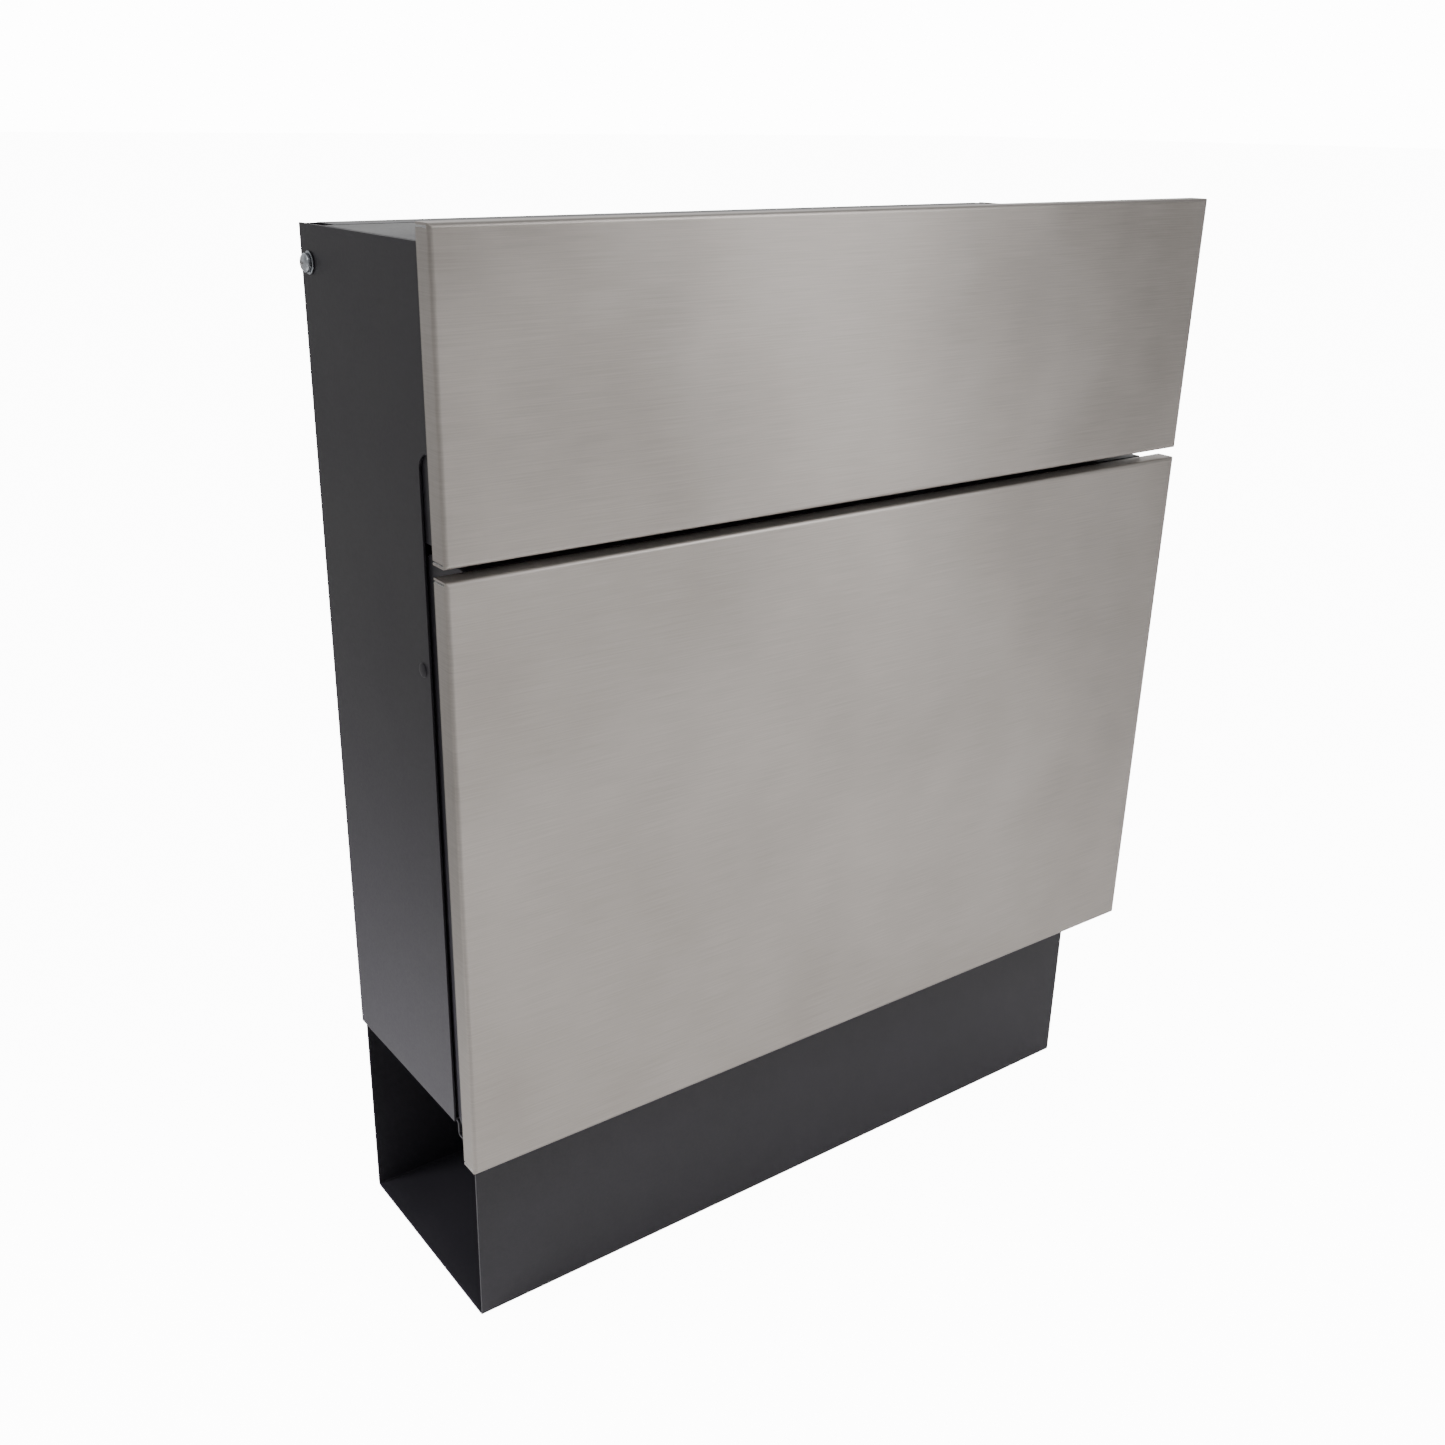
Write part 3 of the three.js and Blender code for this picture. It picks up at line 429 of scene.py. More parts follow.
def block(name: str, low: Point, high: Point) -> Object:
    """Makes a plain box between two corners, in millimetres, for cutting with.

    Args:
        name: the object's name.
        low: lowest corner.
        high: highest corner.

    Returns:
        The new object.
    """
    points = [(x, y, z) for x in (low[0], high[0]) for y in (low[1], high[1])
              for z in (low[2], high[2])]
    faces = [(0, 1, 3, 2), (4, 6, 7, 5), (0, 4, 5, 1), (2, 3, 7, 6), (0, 2, 6, 4), (1, 5, 7, 3)]
    return shape(name, points, faces)


def cut(piece: Object, cutters: Iterable[Object]) -> None:
    """Adds a live boolean for each cutting object; settle() works them in.

    Args:
        piece: what is cut.
        cutters: what is taken away from it.
    """
    for cutter in cutters:
        step = piece.modifiers.new("cut", "BOOLEAN")
        step.operation = "DIFFERENCE"
        step.solver = "EXACT"
        step.object = cutter


def ease_edges(piece: Object, radius_mm: float, steps: int = 2,
               sharp_deg: float = 40.0) -> None:
    """Rounds the sharp edges, as paint or tumbling does; settle() works it in.

    Args:
        piece: the piece.
        radius_mm: radius of the rounding.
        steps: facets round it.
        sharp_deg: edges that bend more than this are rounded.
    """
    step = piece.modifiers.new("edges", "BEVEL")
    step.width = radius_mm * MM
    step.segments = steps
    step.limit_method = "ANGLE"
    step.angle_limit = math.radians(sharp_deg)
    step.use_clamp_overlap = True
    piece.data.shade_smooth()
    flat = piece.modifiers.new("flat_faces", "WEIGHTED_NORMAL")
    flat.keep_sharp = True


def settle(piece: Object) -> None:
    """Turns a piece with live modifiers into a plain mesh and removes what it was cut with.

    Args:
        piece: the piece.
    """
    used = [m.object for m in piece.modifiers if m.type == "BOOLEAN" and m.object]
    bpy.context.view_layer.update()
    graph = bpy.context.evaluated_depsgraph_get()
    mesh = bpy.data.meshes.new_from_object(
        piece.evaluated_get(graph), preserve_all_data_layers=True, depsgraph=graph
    )
    weighted = any(m.type == "WEIGHTED_NORMAL" for m in piece.modifiers)
    piece.modifiers.clear()
    piece.data = mesh
    if not weighted:
        mesh.shade_smooth()
        mesh.set_sharp_from_angle(angle=math.radians(SMOOTH_DEG))
    for other in set(used):
        bpy.data.objects.remove(other)


def cad_skin(node: Object, name: str, edge_mm: float,
             flat_deg: float = 0.3) -> Object:
    """Makes a piece from a merged copy of a CAD node's mesh, its sharp edges eased.

    Args:
        node: the CAD node, which is left alone.
        name: name of the new piece.
        edge_mm: radius of the eased edges.
        flat_deg: faces that bend less than this against each other become one.

    Returns:
        The new piece, as a plain mesh.
    """
    mesh = node.data.copy()
    mesh.materials.clear()
    work = bmesh.new()
    work.from_mesh(mesh)
    bmesh.ops.remove_doubles(work, verts=work.verts, dist=WELD)
    bmesh.ops.dissolve_limit(
        work, angle_limit=math.radians(flat_deg), verts=work.verts, edges=work.edges
    )
    work.to_mesh(mesh)
    work.free()
    made = new_object(name, mesh)
    ease_edges(made, edge_mm)
    settle(made)
    return made


# ---------------- geometry node trees


class NodeTree:
    """A geometry node tree with named inputs, built in the script."""

    def __init__(self, name: str, inputs: dict[str, str]) -> None:
        """Starts a tree.

        Args:
            name: the tree's name.
            inputs: input names and their socket types.
        """
        self.tree = bpy.data.node_groups.new(name, "GeometryNodeTree")
        face = self.tree.interface
        face.new_socket(name="Geometry", in_out="INPUT", socket_type="NodeSocketGeometry")
        self.keys = {
            label: face.new_socket(name=label, in_out="INPUT", socket_type=kind).identifier
            for label, kind in inputs.items()
        }
        face.new_socket(name="Geometry", in_out="OUTPUT", socket_type="NodeSocketGeometry")
        self.source = self.tree.nodes.new("NodeGroupInput")

    def given(self, label: str) -> Any:
        """The socket that brings an input into the tree."""
        return self.source.outputs[label]

    def node(self, kind: str, wires: dict | tuple = (), out: int | str = 0,
             **settings: Any) -> Any:
        """Adds a node and returns one of its outputs."""
        return add_node(self.tree, kind, wires, **settings).outputs[out]

    def end(self, geometry: Any) -> None:
        """Ends the tree: real geometry, with the finish given as an input.

        Args:
            geometry: the socket with everything that the tree makes.
        """
        real = self.node("GeometryNodeRealizeInstances", (geometry,))
        dressed = self.node(
            "GeometryNodeSetMaterial", {"Geometry": real, "Material": self.given("Finish")}
        )
        add_node(self.tree, "NodeGroupOutput", (dressed,))

    def on(self, piece: Object, values: dict[str, Any]) -> None:
        """Puts the tree on a piece as a modifier.

        Args:
            piece: the piece.
            values: input names and their values.
        """
        step = piece.modifiers.new(self.tree.name, "NODES")
        step.node_group = self.tree
        for label, value in values.items():
            step[self.keys[label]] = value


class FoldedTray(NodeTree):
    """A tray folded from a flat blank: a grid whose outer lines follow the four folds."""

    GRAIN_MAP = "grain"
    QUARTER_TURN = 0.25  # as a share of a full one: highlights stretch across the grain

    def __init__(self) -> None:
        """Builds the tree: two skins of one grid, folded alike, a sheet's thickness apart."""
        super().__init__(
            "folded_tray",
            dict.fromkeys(("Width", "Height", "Depth", "Sheet", "Fold Radius"), "NodeSocketFloat")
            | {
                "Fold Steps": "NodeSocketInt",
                "Front Middle": "NodeSocketVector",
                "Finish": "NodeSocketMaterial",
            },
        )
        last = self.node(MATH, (self.given("Fold Steps"), 2.0, 3.0), operation="MULTIPLY_ADD")
        count = self.node(MATH, (last, 1.0), operation="ADD")
        grid = self.node(
            "GeometryNodeMeshGrid",
            {"Size X": last, "Size Y": last, "Vertices X": count, "Vertices Y": count},
        )
        lifted = self.node(
            "GeometryNodeExtrudeMesh",
            {"Mesh": grid, "Offset Scale": 1.0, "Individual": False}, "Mesh", mode="FACES",
        )
        skins = add_node(self.tree, "GeometryNodeJoinGeometry")
        for skin in (lifted, self.node("GeometryNodeFlipFaces", (grid,))):
            self.tree.links.new(skin, skins.inputs[0])
        shell = self.node(
            "GeometryNodeMergeByDistance", {"Geometry": skins.outputs[0], "Distance": 1e-3}
        )
        spot = add_node(
            self.tree, "ShaderNodeSeparateXYZ", (self.node("GeometryNodeInputPosition"),)
        )
        is_inner = self.node(MATH, (spot.outputs[2], 0.5), operation="LESS_THAN")
        inset = self.node(MATH, (is_inner, self.given("Sheet")), operation="MULTIPLY")
        half = self.node(MATH, (last, 0.5), operation="MULTIPLY")
        across = self.fold(spot.outputs[0], half, self.given("Width"), inset)
        upward = self.fold(spot.outputs[1], half, self.given("Height"), inset)
        blank = self.node("ShaderNodeCombineXYZ", (across[2], upward[2]))
        mapped = self.node(
            "GeometryNodeStoreNamedAttribute",
            {"Geometry": shell, "Name": self.GRAIN_MAP, "Value": blank},
            data_type="FLOAT2",
            domain="CORNER",
        )
        deep = self.node(MATH, (across[1], upward[1]), operation="MAXIMUM")
        place = self.node("ShaderNodeCombineXYZ", (across[0], deep, upward[0]))
        moved = self.node(
            "ShaderNodeVectorMath", (place, self.given("Front Middle")), operation="ADD"
        )
        folded = self.node("GeometryNodeSetPosition", {"Geometry": mapped, "Position": moved})
        self.end(self.node("GeometryNodeMergeByDistance", {"Geometry": folded, "Distance": WELD}))

    def fold(self, line: Any, half: Any, size: Any, inset: Any) -> tuple[Any, Any, Any]:
        """Folds one direction of the grid.

        Args:
            line: the grid line's number, counted from the middle.
            half: the highest such number.
            size: the tray's size in this direction.
            inset: how far this skin lies inside the outer one.

        Returns:
            Place across the tray, depth behind the front face, and place on the flat blank.
        """
        radius = self.given("Fold Radius")
        steps = self.given("Fold Steps")
        away = self.node(MATH, (line,), operation="ABSOLUTE")
        from_edge = self.node(MATH, (half, away), operation="SUBTRACT")
        lines = self.node(MATH, (steps, 1.0), operation="ADD")
        turned = self.node(MATH, (lines, from_edge), operation="SUBTRACT")
        share = self.node(MATH, (turned, steps), operation="DIVIDE", use_clamp=True)
        angle = self.node(MATH, (share, math.pi / 2), operation="MULTIPLY")
        sine = self.node(MATH, (angle,), operation="SINE")
        cosine = self.node(MATH, (angle,), operation="COSINE")
        middle = self.node(MATH, (size, 0.5), operation="MULTIPLY")
        flat = self.node(MATH, (middle, radius), operation="SUBTRACT")
        own = self.node(MATH, (radius, inset), operation="SUBTRACT")
        out = self.node(MATH, (sine, own, flat), operation="MULTIPLY_ADD")
        short = self.node(MATH, (cosine, own), operation="MULTIPLY")
        arc = self.node(MATH, (radius, short), operation="SUBTRACT")
        is_end = self.node(MATH, (from_edge, 0.5), operation="LESS_THAN")
        straight = self.node(MATH, (self.given("Depth"), radius), operation="SUBTRACT")
        leg = self.node(MATH, (is_end, straight), operation="MULTIPLY")
        sign = self.node(MATH, (line,), operation="SIGN")
        bent = self.node(MATH, (angle, radius, flat), operation="MULTIPLY_ADD")
        reach = self.node(MATH, (bent, leg), operation="ADD")
        return (
            self.node(MATH, (out, sign), operation="MULTIPLY"),
            self.node(MATH, (arc, leg), operation="ADD"),
            self.node(MATH, (reach, sign), operation="MULTIPLY"),
        )


class TurnedParts(NodeTree):
    """Parts turned from one profile and set at many places, such as screws, nuts and rivets.

    The profile's vertices hold radius in X and distance along the axis in Z. A weight in the
    attribute "flats" draws a point out to a hexagon, and "fall" chamfers the hexagon's corners.
    """

    CHAMFER_SLOPE = 0.58

    def __init__(self) -> None:
        """Builds the tree: turn the profile, then set a copy at every place, along its axis."""
        super().__init__(
            "turned_parts",
            {
                "Places": "NodeSocketObject",
                "Facets": "NodeSocketInt",
                "Finish": "NodeSocketMaterial",
            },
        )
        profile = self.given("Geometry")
        facets = self.given("Facets")
        points = self.node("GeometryNodeAttributeDomainSize", (profile,), component="MESH")
        rows = self.node(MATH, (points, 1.0), operation="SUBTRACT")
        columns = self.node(MATH, (facets, 1.0), operation="ADD")
        grid = self.node(
            "GeometryNodeMeshGrid",
            {"Size X": facets, "Size Y": rows, "Vertices X": columns, "Vertices Y": points},
        )
        position = self.node("GeometryNodeInputPosition")
        spot = add_node(self.tree, "ShaderNodeSeparateXYZ", (position,))
        row = self.node(MATH, (rows, 0.5, spot.outputs[1]), operation="MULTIPLY_ADD")
        share = self.node(MATH, (spot.outputs[0], facets), operation="DIVIDE")
        angle = self.node(MATH, (share, 2 * math.pi), operation="MULTIPLY")
        flats, fall, axis = (
            self.node("GeometryNodeInputNamedAttribute", (name,), data_type=kind)
            for name, kind in (("flats", "FLOAT"), ("fall", "FLOAT"), ("axis", "FLOAT_VECTOR"))
        )
        point, flats, fall = (
            self.node(
                "GeometryNodeSampleIndex", {"Geometry": profile, "Value": value, "Index": row},
                data_type=kind, domain="POINT",
            )
            for value, kind in ((position, "FLOAT_VECTOR"), (flats, "FLOAT"), (fall, "FLOAT"))
        )
        at = add_node(self.tree, "ShaderNodeSeparateXYZ", (point,))
        sector = self.node(MATH, (angle, math.pi / 6, -math.pi / 6), operation="WRAP")
        near = self.node(MATH, (sector,), operation="COSINE")
        far = self.node(MATH, (1.0, near), operation="DIVIDE")
        corner = self.node(MATH, (far, 1.0), operation="SUBTRACT")
        longer = self.node(MATH, (at.outputs[0], corner), operation="MULTIPLY")
        out = self.node(MATH, (longer, flats), operation="MULTIPLY")
        radius = self.node(MATH, (at.outputs[0], out), operation="ADD")
        drop = self.node(MATH, (out, fall), operation="MULTIPLY")
        along = self.node(
            MATH, (drop, self.CHAMFER_SLOPE, at.outputs[2]), operation="MULTIPLY_ADD"
        )
        cosine = self.node(MATH, (angle,), operation="COSINE")
        sine = self.node(MATH, (angle,), operation="SINE")
        x = self.node(MATH, (radius, cosine), operation="MULTIPLY")
        y = self.node(MATH, (radius, sine), operation="MULTIPLY")
        place = self.node("ShaderNodeCombineXYZ", (x, y, along))
        turned = self.node("GeometryNodeSetPosition", {"Geometry": grid, "Position": place})
        closed = self.node("GeometryNodeMergeByDistance", {"Geometry": turned, "Distance": WELD})
        places = self.node(
            "GeometryNodeObjectInfo", (self.given("Places"),), "Geometry",
            transform_space="ORIGINAL",
        )
        spots = self.node("GeometryNodeMeshToPoints", (places,))
        way = self.node("FunctionNodeAlignRotationToVector", {"Vector": axis}, axis="Z")
        self.end(
            self.node(
                "GeometryNodeInstanceOnPoints",
                {"Points": spots, "Instance": closed, "Rotation": way},
            )
        )


@dataclass(frozen=True)
class Turned:
    """A turned part's profile, in millimetres, and the places it is set at."""

    profile: Sequence[Sequence[float]]
    places: Sequence[Point]
    axes: Sequence[Point]
    facets: int = 40

    def build(self, name: str, tree: TurnedParts, finish: Finish) -> Object:
        """Turns the part and sets it at its places.

        Args:
            name: the piece's name.
            tree: the shared node tree.
            finish: its finish.

        Returns:
            One plain mesh with all the copies.
        """
        rows = [tuple(row) + (0.0,) * (4 - len(row)) for row in self.profile]
        made = shape(
            name,
            [(row[0], 0, row[1]) for row in rows],
            edges=[(i, i + 1) for i in range(len(rows) - 1)],
        )
        self.store(made, "flats", "FLOAT", "value", [row[2] for row in rows])
        self.store(made, "fall", "FLOAT", "value", [row[3] for row in rows])
        places = shape(f"{name}_places", [Vector(p) / MM for p in self.places])
        self.store(places, "axis", "FLOAT_VECTOR", "vector", [c for a in self.axes for c in a])
        tree.on(made, {"Places": places, "Facets": self.facets, "Finish": finish.material()})
        settle(made)
        bpy.data.objects.remove(places)
        return made

    @staticmethod
    def store(piece: Object, name: str, kind: str, key: str, values: list) -> None:
        """Stores a value for each vertex under a name."""
        piece.data.attributes.new(name, kind, "POINT").data.foreach_set(key, values)


def dome(radius: float, height: float, start: float, steps: int = 7) -> list[Pair]:
    """The profile of a domed head, from its rim to its crown.

    Args:
        radius: radius of the head.
        height: height of the head.
        start: where it starts along the axis.
        steps: facets from rim to crown.

    Returns:
        Profile points.
    """
    rim = height * 0.3  # the straight edge under the dome
    points = [(radius, start), (radius, start + rim)]
    for i in range(1, steps):
        angle = i / steps * math.pi / 2
        points.append((radius * math.cos(angle), start + rim + (height - rim) * math.sin(angle)))
    return points + [(0.0, start + height)]


def thread(radius: float, low: float, high: float, pitch: float = 0.7,
           deep: float = 0.3) -> list[Pair]:
    """The profile of a thread as rings, going up.

    Args:
        radius: radius over the crests.
        low: where it starts along the axis.
        high: where it ends.
        pitch: distance between two crests.
        deep: depth from crest to root.

    Returns:
        Profile points.
    """
    turns = max(1, int((high - low) / pitch))
    pitch = (high - low) / turns
    points = []
    for i in range(turns):
        points += [(radius - deep, low + i * pitch), (radius, low + (i + 0.5) * pitch)]
    return points + [(radius - deep, high)]


# ---------------- sub-assemblies


@dataclass
class Workshop:
    """What all sub-assemblies share: the frame, the finishes and the node trees."""

    frame: dict
    paint: Finish = field(default_factory=PowderCoat)
    stainless: Finish = field(default_factory=BrushedStainless)
    stud: Finish = field(default_factory=StainlessStud)
    zinc: Finish = field(default_factory=ZincPlate)
    nickel: Finish = field(default_factory=NickelPlate)
    nylon: Finish = field(default_factory=MouldedNylon)
    rubber: Finish = field(default_factory=MouldedRubber)

    def __post_init__(self) -> None:
        """Builds the node trees once."""
        self.tray_tree = FoldedTray()
        self.turn_tree = TurnedParts()

    def box_mm(self, node: str) -> tuple[Vector, Vector]:
        """The lowest and highest corner of a CAD node, in millimetres."""
        low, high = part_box(node)
        return low / MM, high / MM

    def middle(self, node: str) -> Vector:
        """The middle of a CAD node, in metres."""
        low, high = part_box(node)
        return (low + high) / 2

    def deliver(self, piece: Object, body: Body, finish: Finish,
                nodes: Sequence[str]) -> None:
        """Dresses a finished piece, hangs it on its body and reports it.

        Args:
            piece: the piece, a plain mesh in its place.
            body: the body that it rides on.
            finish: its finish.
            nodes: the CAD nodes that it stands for.
        """
        if not piece.data.materials:
            piece.data.materials.append(finish.material())
        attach(piece, body.value)
        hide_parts(*nodes)
        faces = len(piece.data.polygons)
        LOG.info("%s: %d faces, stands for %s", piece.name, faces, ", ".join(nodes))

    def skin(self, node: str, body: Body, finish: Finish, edge_mm: float = 0.25) -> None:
        """Delivers a piece that keeps a CAD node's shape, with eased edges.

        Args:
            node: the CAD node.
            body: the body that it rides on.
            finish: its finish.
            edge_mm: radius of the eased edges.
        """
        piece = cad_skin(self.frame["nodes"][node], f"{node}_skin", edge_mm)
        self.deliver(piece, body, finish, [node])

    def turned(self, name: str, part: Turned, body: Body, finish: Finish,
               nodes: Sequence[str]) -> None:
        """Delivers turned parts, one at each place.

        Args:
            name: the piece's name.
            part: the profile and the places.
            body: the body that it rides on.
            finish: its finish.
            nodes: the CAD nodes that it stands for.
        """
        self.deliver(part.build(name, self.turn_tree, finish), body, finish, nodes)


@dataclass
class SteelBody:
    """The painted box: sides, back wall, floor, front band and newspaper compartment."""

    shop: Workshop
    paint_edge: float = 0.25

    def build(self) -> None:
        """Builds and dresses every painted sheet of the box."""
        for node in ("back_wall", "floor_pan", "front_band", "side_left", "side_right",
                     "newspaper_compartment"):
            self.shop.skin(node, Body.BOX, self.shop.paint, self.paint_edge)


@dataclass
class StainlessFront:
    """A stainless tray: four folded returns with an open slit at each corner."""

    shop: Workshop
    node: str
    body: Body
    sheet: float = 0.8
    fold: float = 1.6
    slit: float = 0.7
    slit_depth: float = 1.5  # in sheet thicknesses
    burr_edge: float = 0.12
    fold_steps: int = 8
    off_plane: float = 0.02  # keeps the cutting blocks off the sheet's own faces
    overcut: float = 1.0

    def build(self) -> None:
        """Folds the tray, gives it its thickness and cuts the slits."""
        low, high = self.shop.box_mm(self.node)
        size = high - low
        piece = shape(f"{self.node}_tray", [(0, 0, 0)])
        self.shop.tray_tree.on(
            piece,
            {
                "Width": size.x * MM,
                "Height": size.z * MM,
                "Depth": size.y * MM,
                "Sheet": self.sheet * MM,
                "Fold Radius": self.fold * MM,
                "Fold Steps": self.fold_steps,
                "Front Middle": (0.0, low.y * MM, (low.z + high.z) / 2 * MM),
                "Finish": self.shop.stainless.material(),
            },
        )
        cut(piece, self.slits(low, high))
        ease_edges(piece, self.burr_edge)
        settle(piece)
        self.shop.deliver(piece, self.body, self.shop.stainless, [self.node])

    def slits(self, low: Vector, high: Vector) -> list[Object]:
        """Thin blocks that open the four corners.

        Args:
            low: the tray's lowest corner, in millimetres.
            high: its highest corner.

        Returns:
            The cutting blocks.
        """
        blocks = []
        bottoms = (
            low.z + self.sheet + self.off_plane, high.z - self.sheet - self.slit - self.off_plane
        )
        for side in Side:
            edge = high.x if side is Side.RIGHT else low.x
            inner, outer = sorted(
                (edge - side.value * self.slit_depth * self.sheet, edge + side.value * self.overcut)
            )
            for bottom in bottoms:
                start = (inner, low.y + self.fold, bottom)
                end = (outer, high.y + self.overcut, bottom + self.slit)
                blocks.append(block("slit", start, end))
        return blocks


@dataclass
class Fasteners:
    """Nuts and weld studs, in millimetres."""

    shop: Workshop
    across_flats: float = 7.0
    thread_radius: float = 2.0
    nut_play: float = 0.1
    nut_facets: int = 48
    face_share: float = 0.93  # a nut's flat face, as a share of its flats
    corner: float = 0.05
    shoulder_radius: float = 4.0
    stud_point: Pair = (0.6, 0.4)  # how much narrower, and how long
    stud_facets: int = 32

    def nut_profile(self, flats: float, height: float, bore: float) -> list[tuple]:
        """The profile of a hexagon nut with chamfered corners, from 0 up its axis.

        Args:
            flats: distance across its flats.
            height: its height.
            bore: radius of its hole.

        Returns:
            Profile points: radius, height, and the weights for hexagon and chamfer.
        """
        face = flats / 2 * self.face_share
        return [
            (bore, 0), (face, 0), (flats / 2, self.corner, 1, 1),
            (flats / 2, height - self.corner, 1, -1), (face, height), (bore, height), (bore, 0),
        ]

    def nuts(self, name: str, nodes: Sequence[str], body: Body, axis: Point,
             flats: float | None = None, bore: float | None = None) -> None:
        """Delivers nuts in the places of their CAD nodes.

        Args:
            name: the piece's name.
            nodes: the CAD nodes that it stands for.
            body: the body that it rides on.
            axis: direction of their axes.
            flats: distance across the flats, if not the usual one.
            bore: radius of the hole, if not the usual one.
        """
        flats = flats or self.across_flats
        lows = [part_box(n) for n in nodes]
        way = Vector(axis)
        height = abs((lows[0][1] - lows[0][0]).dot(way)) / MM
        places = [(a + b) / 2 - way * height * MM / 2 for a, b in lows]
        profile = self.nut_profile(flats, height, bore or self.thread_radius + self.nut_play)
        part = Turned(profile, places, [axis] * len(nodes), self.nut_facets)
        self.shop.turned(name, part, body, self.shop.zinc, nodes)

    def studs(self, name: str, nodes: Sequence[str], body: Body, shoulder: float) -> None:
        """Delivers weld studs with a rolled thread.

        Args:
            name: the piece's name.
            nodes: the CAD nodes that it stands for.
            body: the body that it rides on.
            shoulder: length of the plain shoulder, or 0 for none.
        """
        boxes = [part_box(n) for n in nodes]
        length = (boxes[0][1].y - boxes[0][0].y) / MM
        places = [Vector(((a.x + b.x) / 2, a.y, (a.z + b.z) / 2)) for a, b in boxes]
        profile: list[tuple] = [(0, 0)]
        if shoulder:
            profile += [(self.shoulder_radius, 0), (self.shoulder_radius, shoulder)]
        narrower, point = self.stud_point
        profile += thread(self.thread_radius, shoulder, length - point)
        profile += [(self.thread_radius - narrower, length), (0, length)]
        part = Turned(profile, places, [(0, 1, 0)] * len(nodes), self.stud_facets)
        self.shop.turned(name, part, body, self.shop.stud, nodes)


@dataclass
class Lid:
    """The lid: its painted sheet, the stainless tray in front and what holds them together."""

    shop: Workshop
    fasteners: Fasteners

    def build(self) -> None:
        """Builds and dresses the lid."""
        self.shop.skin("lid_cover", Body.LID, self.shop.paint)
        StainlessFront(self.shop, "lid_panel", Body.LID).build()
        self.fasteners.studs("lid_studs", [f"lid_stud_{i}" for i in TRAY_STUDS], Body.LID, 0)
        self.fasteners.nuts("lid_nuts", [f"lid_nut_{i}" for i in TRAY_STUDS], Body.LID, (0, 1, 0))


@dataclass
class Door:
    """The door: painted shell, stainless tray and their studs and nuts."""

    shop: Workshop
    fasteners: Fasteners
    shoulder: float = 7.9

    def build(self) -> None:
        """Builds and dresses the door."""
        self.shop.skin("door_shell", Body.DOOR, self.shop.paint)
        StainlessFront(self.shop, "door_panel", Body.DOOR).build()
        self.fasteners.studs(
            "door_studs", [f"door_stud_{i}" for i in TRAY_STUDS], Body.DOOR, self.shoulder
        )
        self.fasteners.nuts(
            "door_nuts", [f"door_nut_{i}" for i in TRAY_STUDS], Body.DOOR, (0, 1, 0)
        )


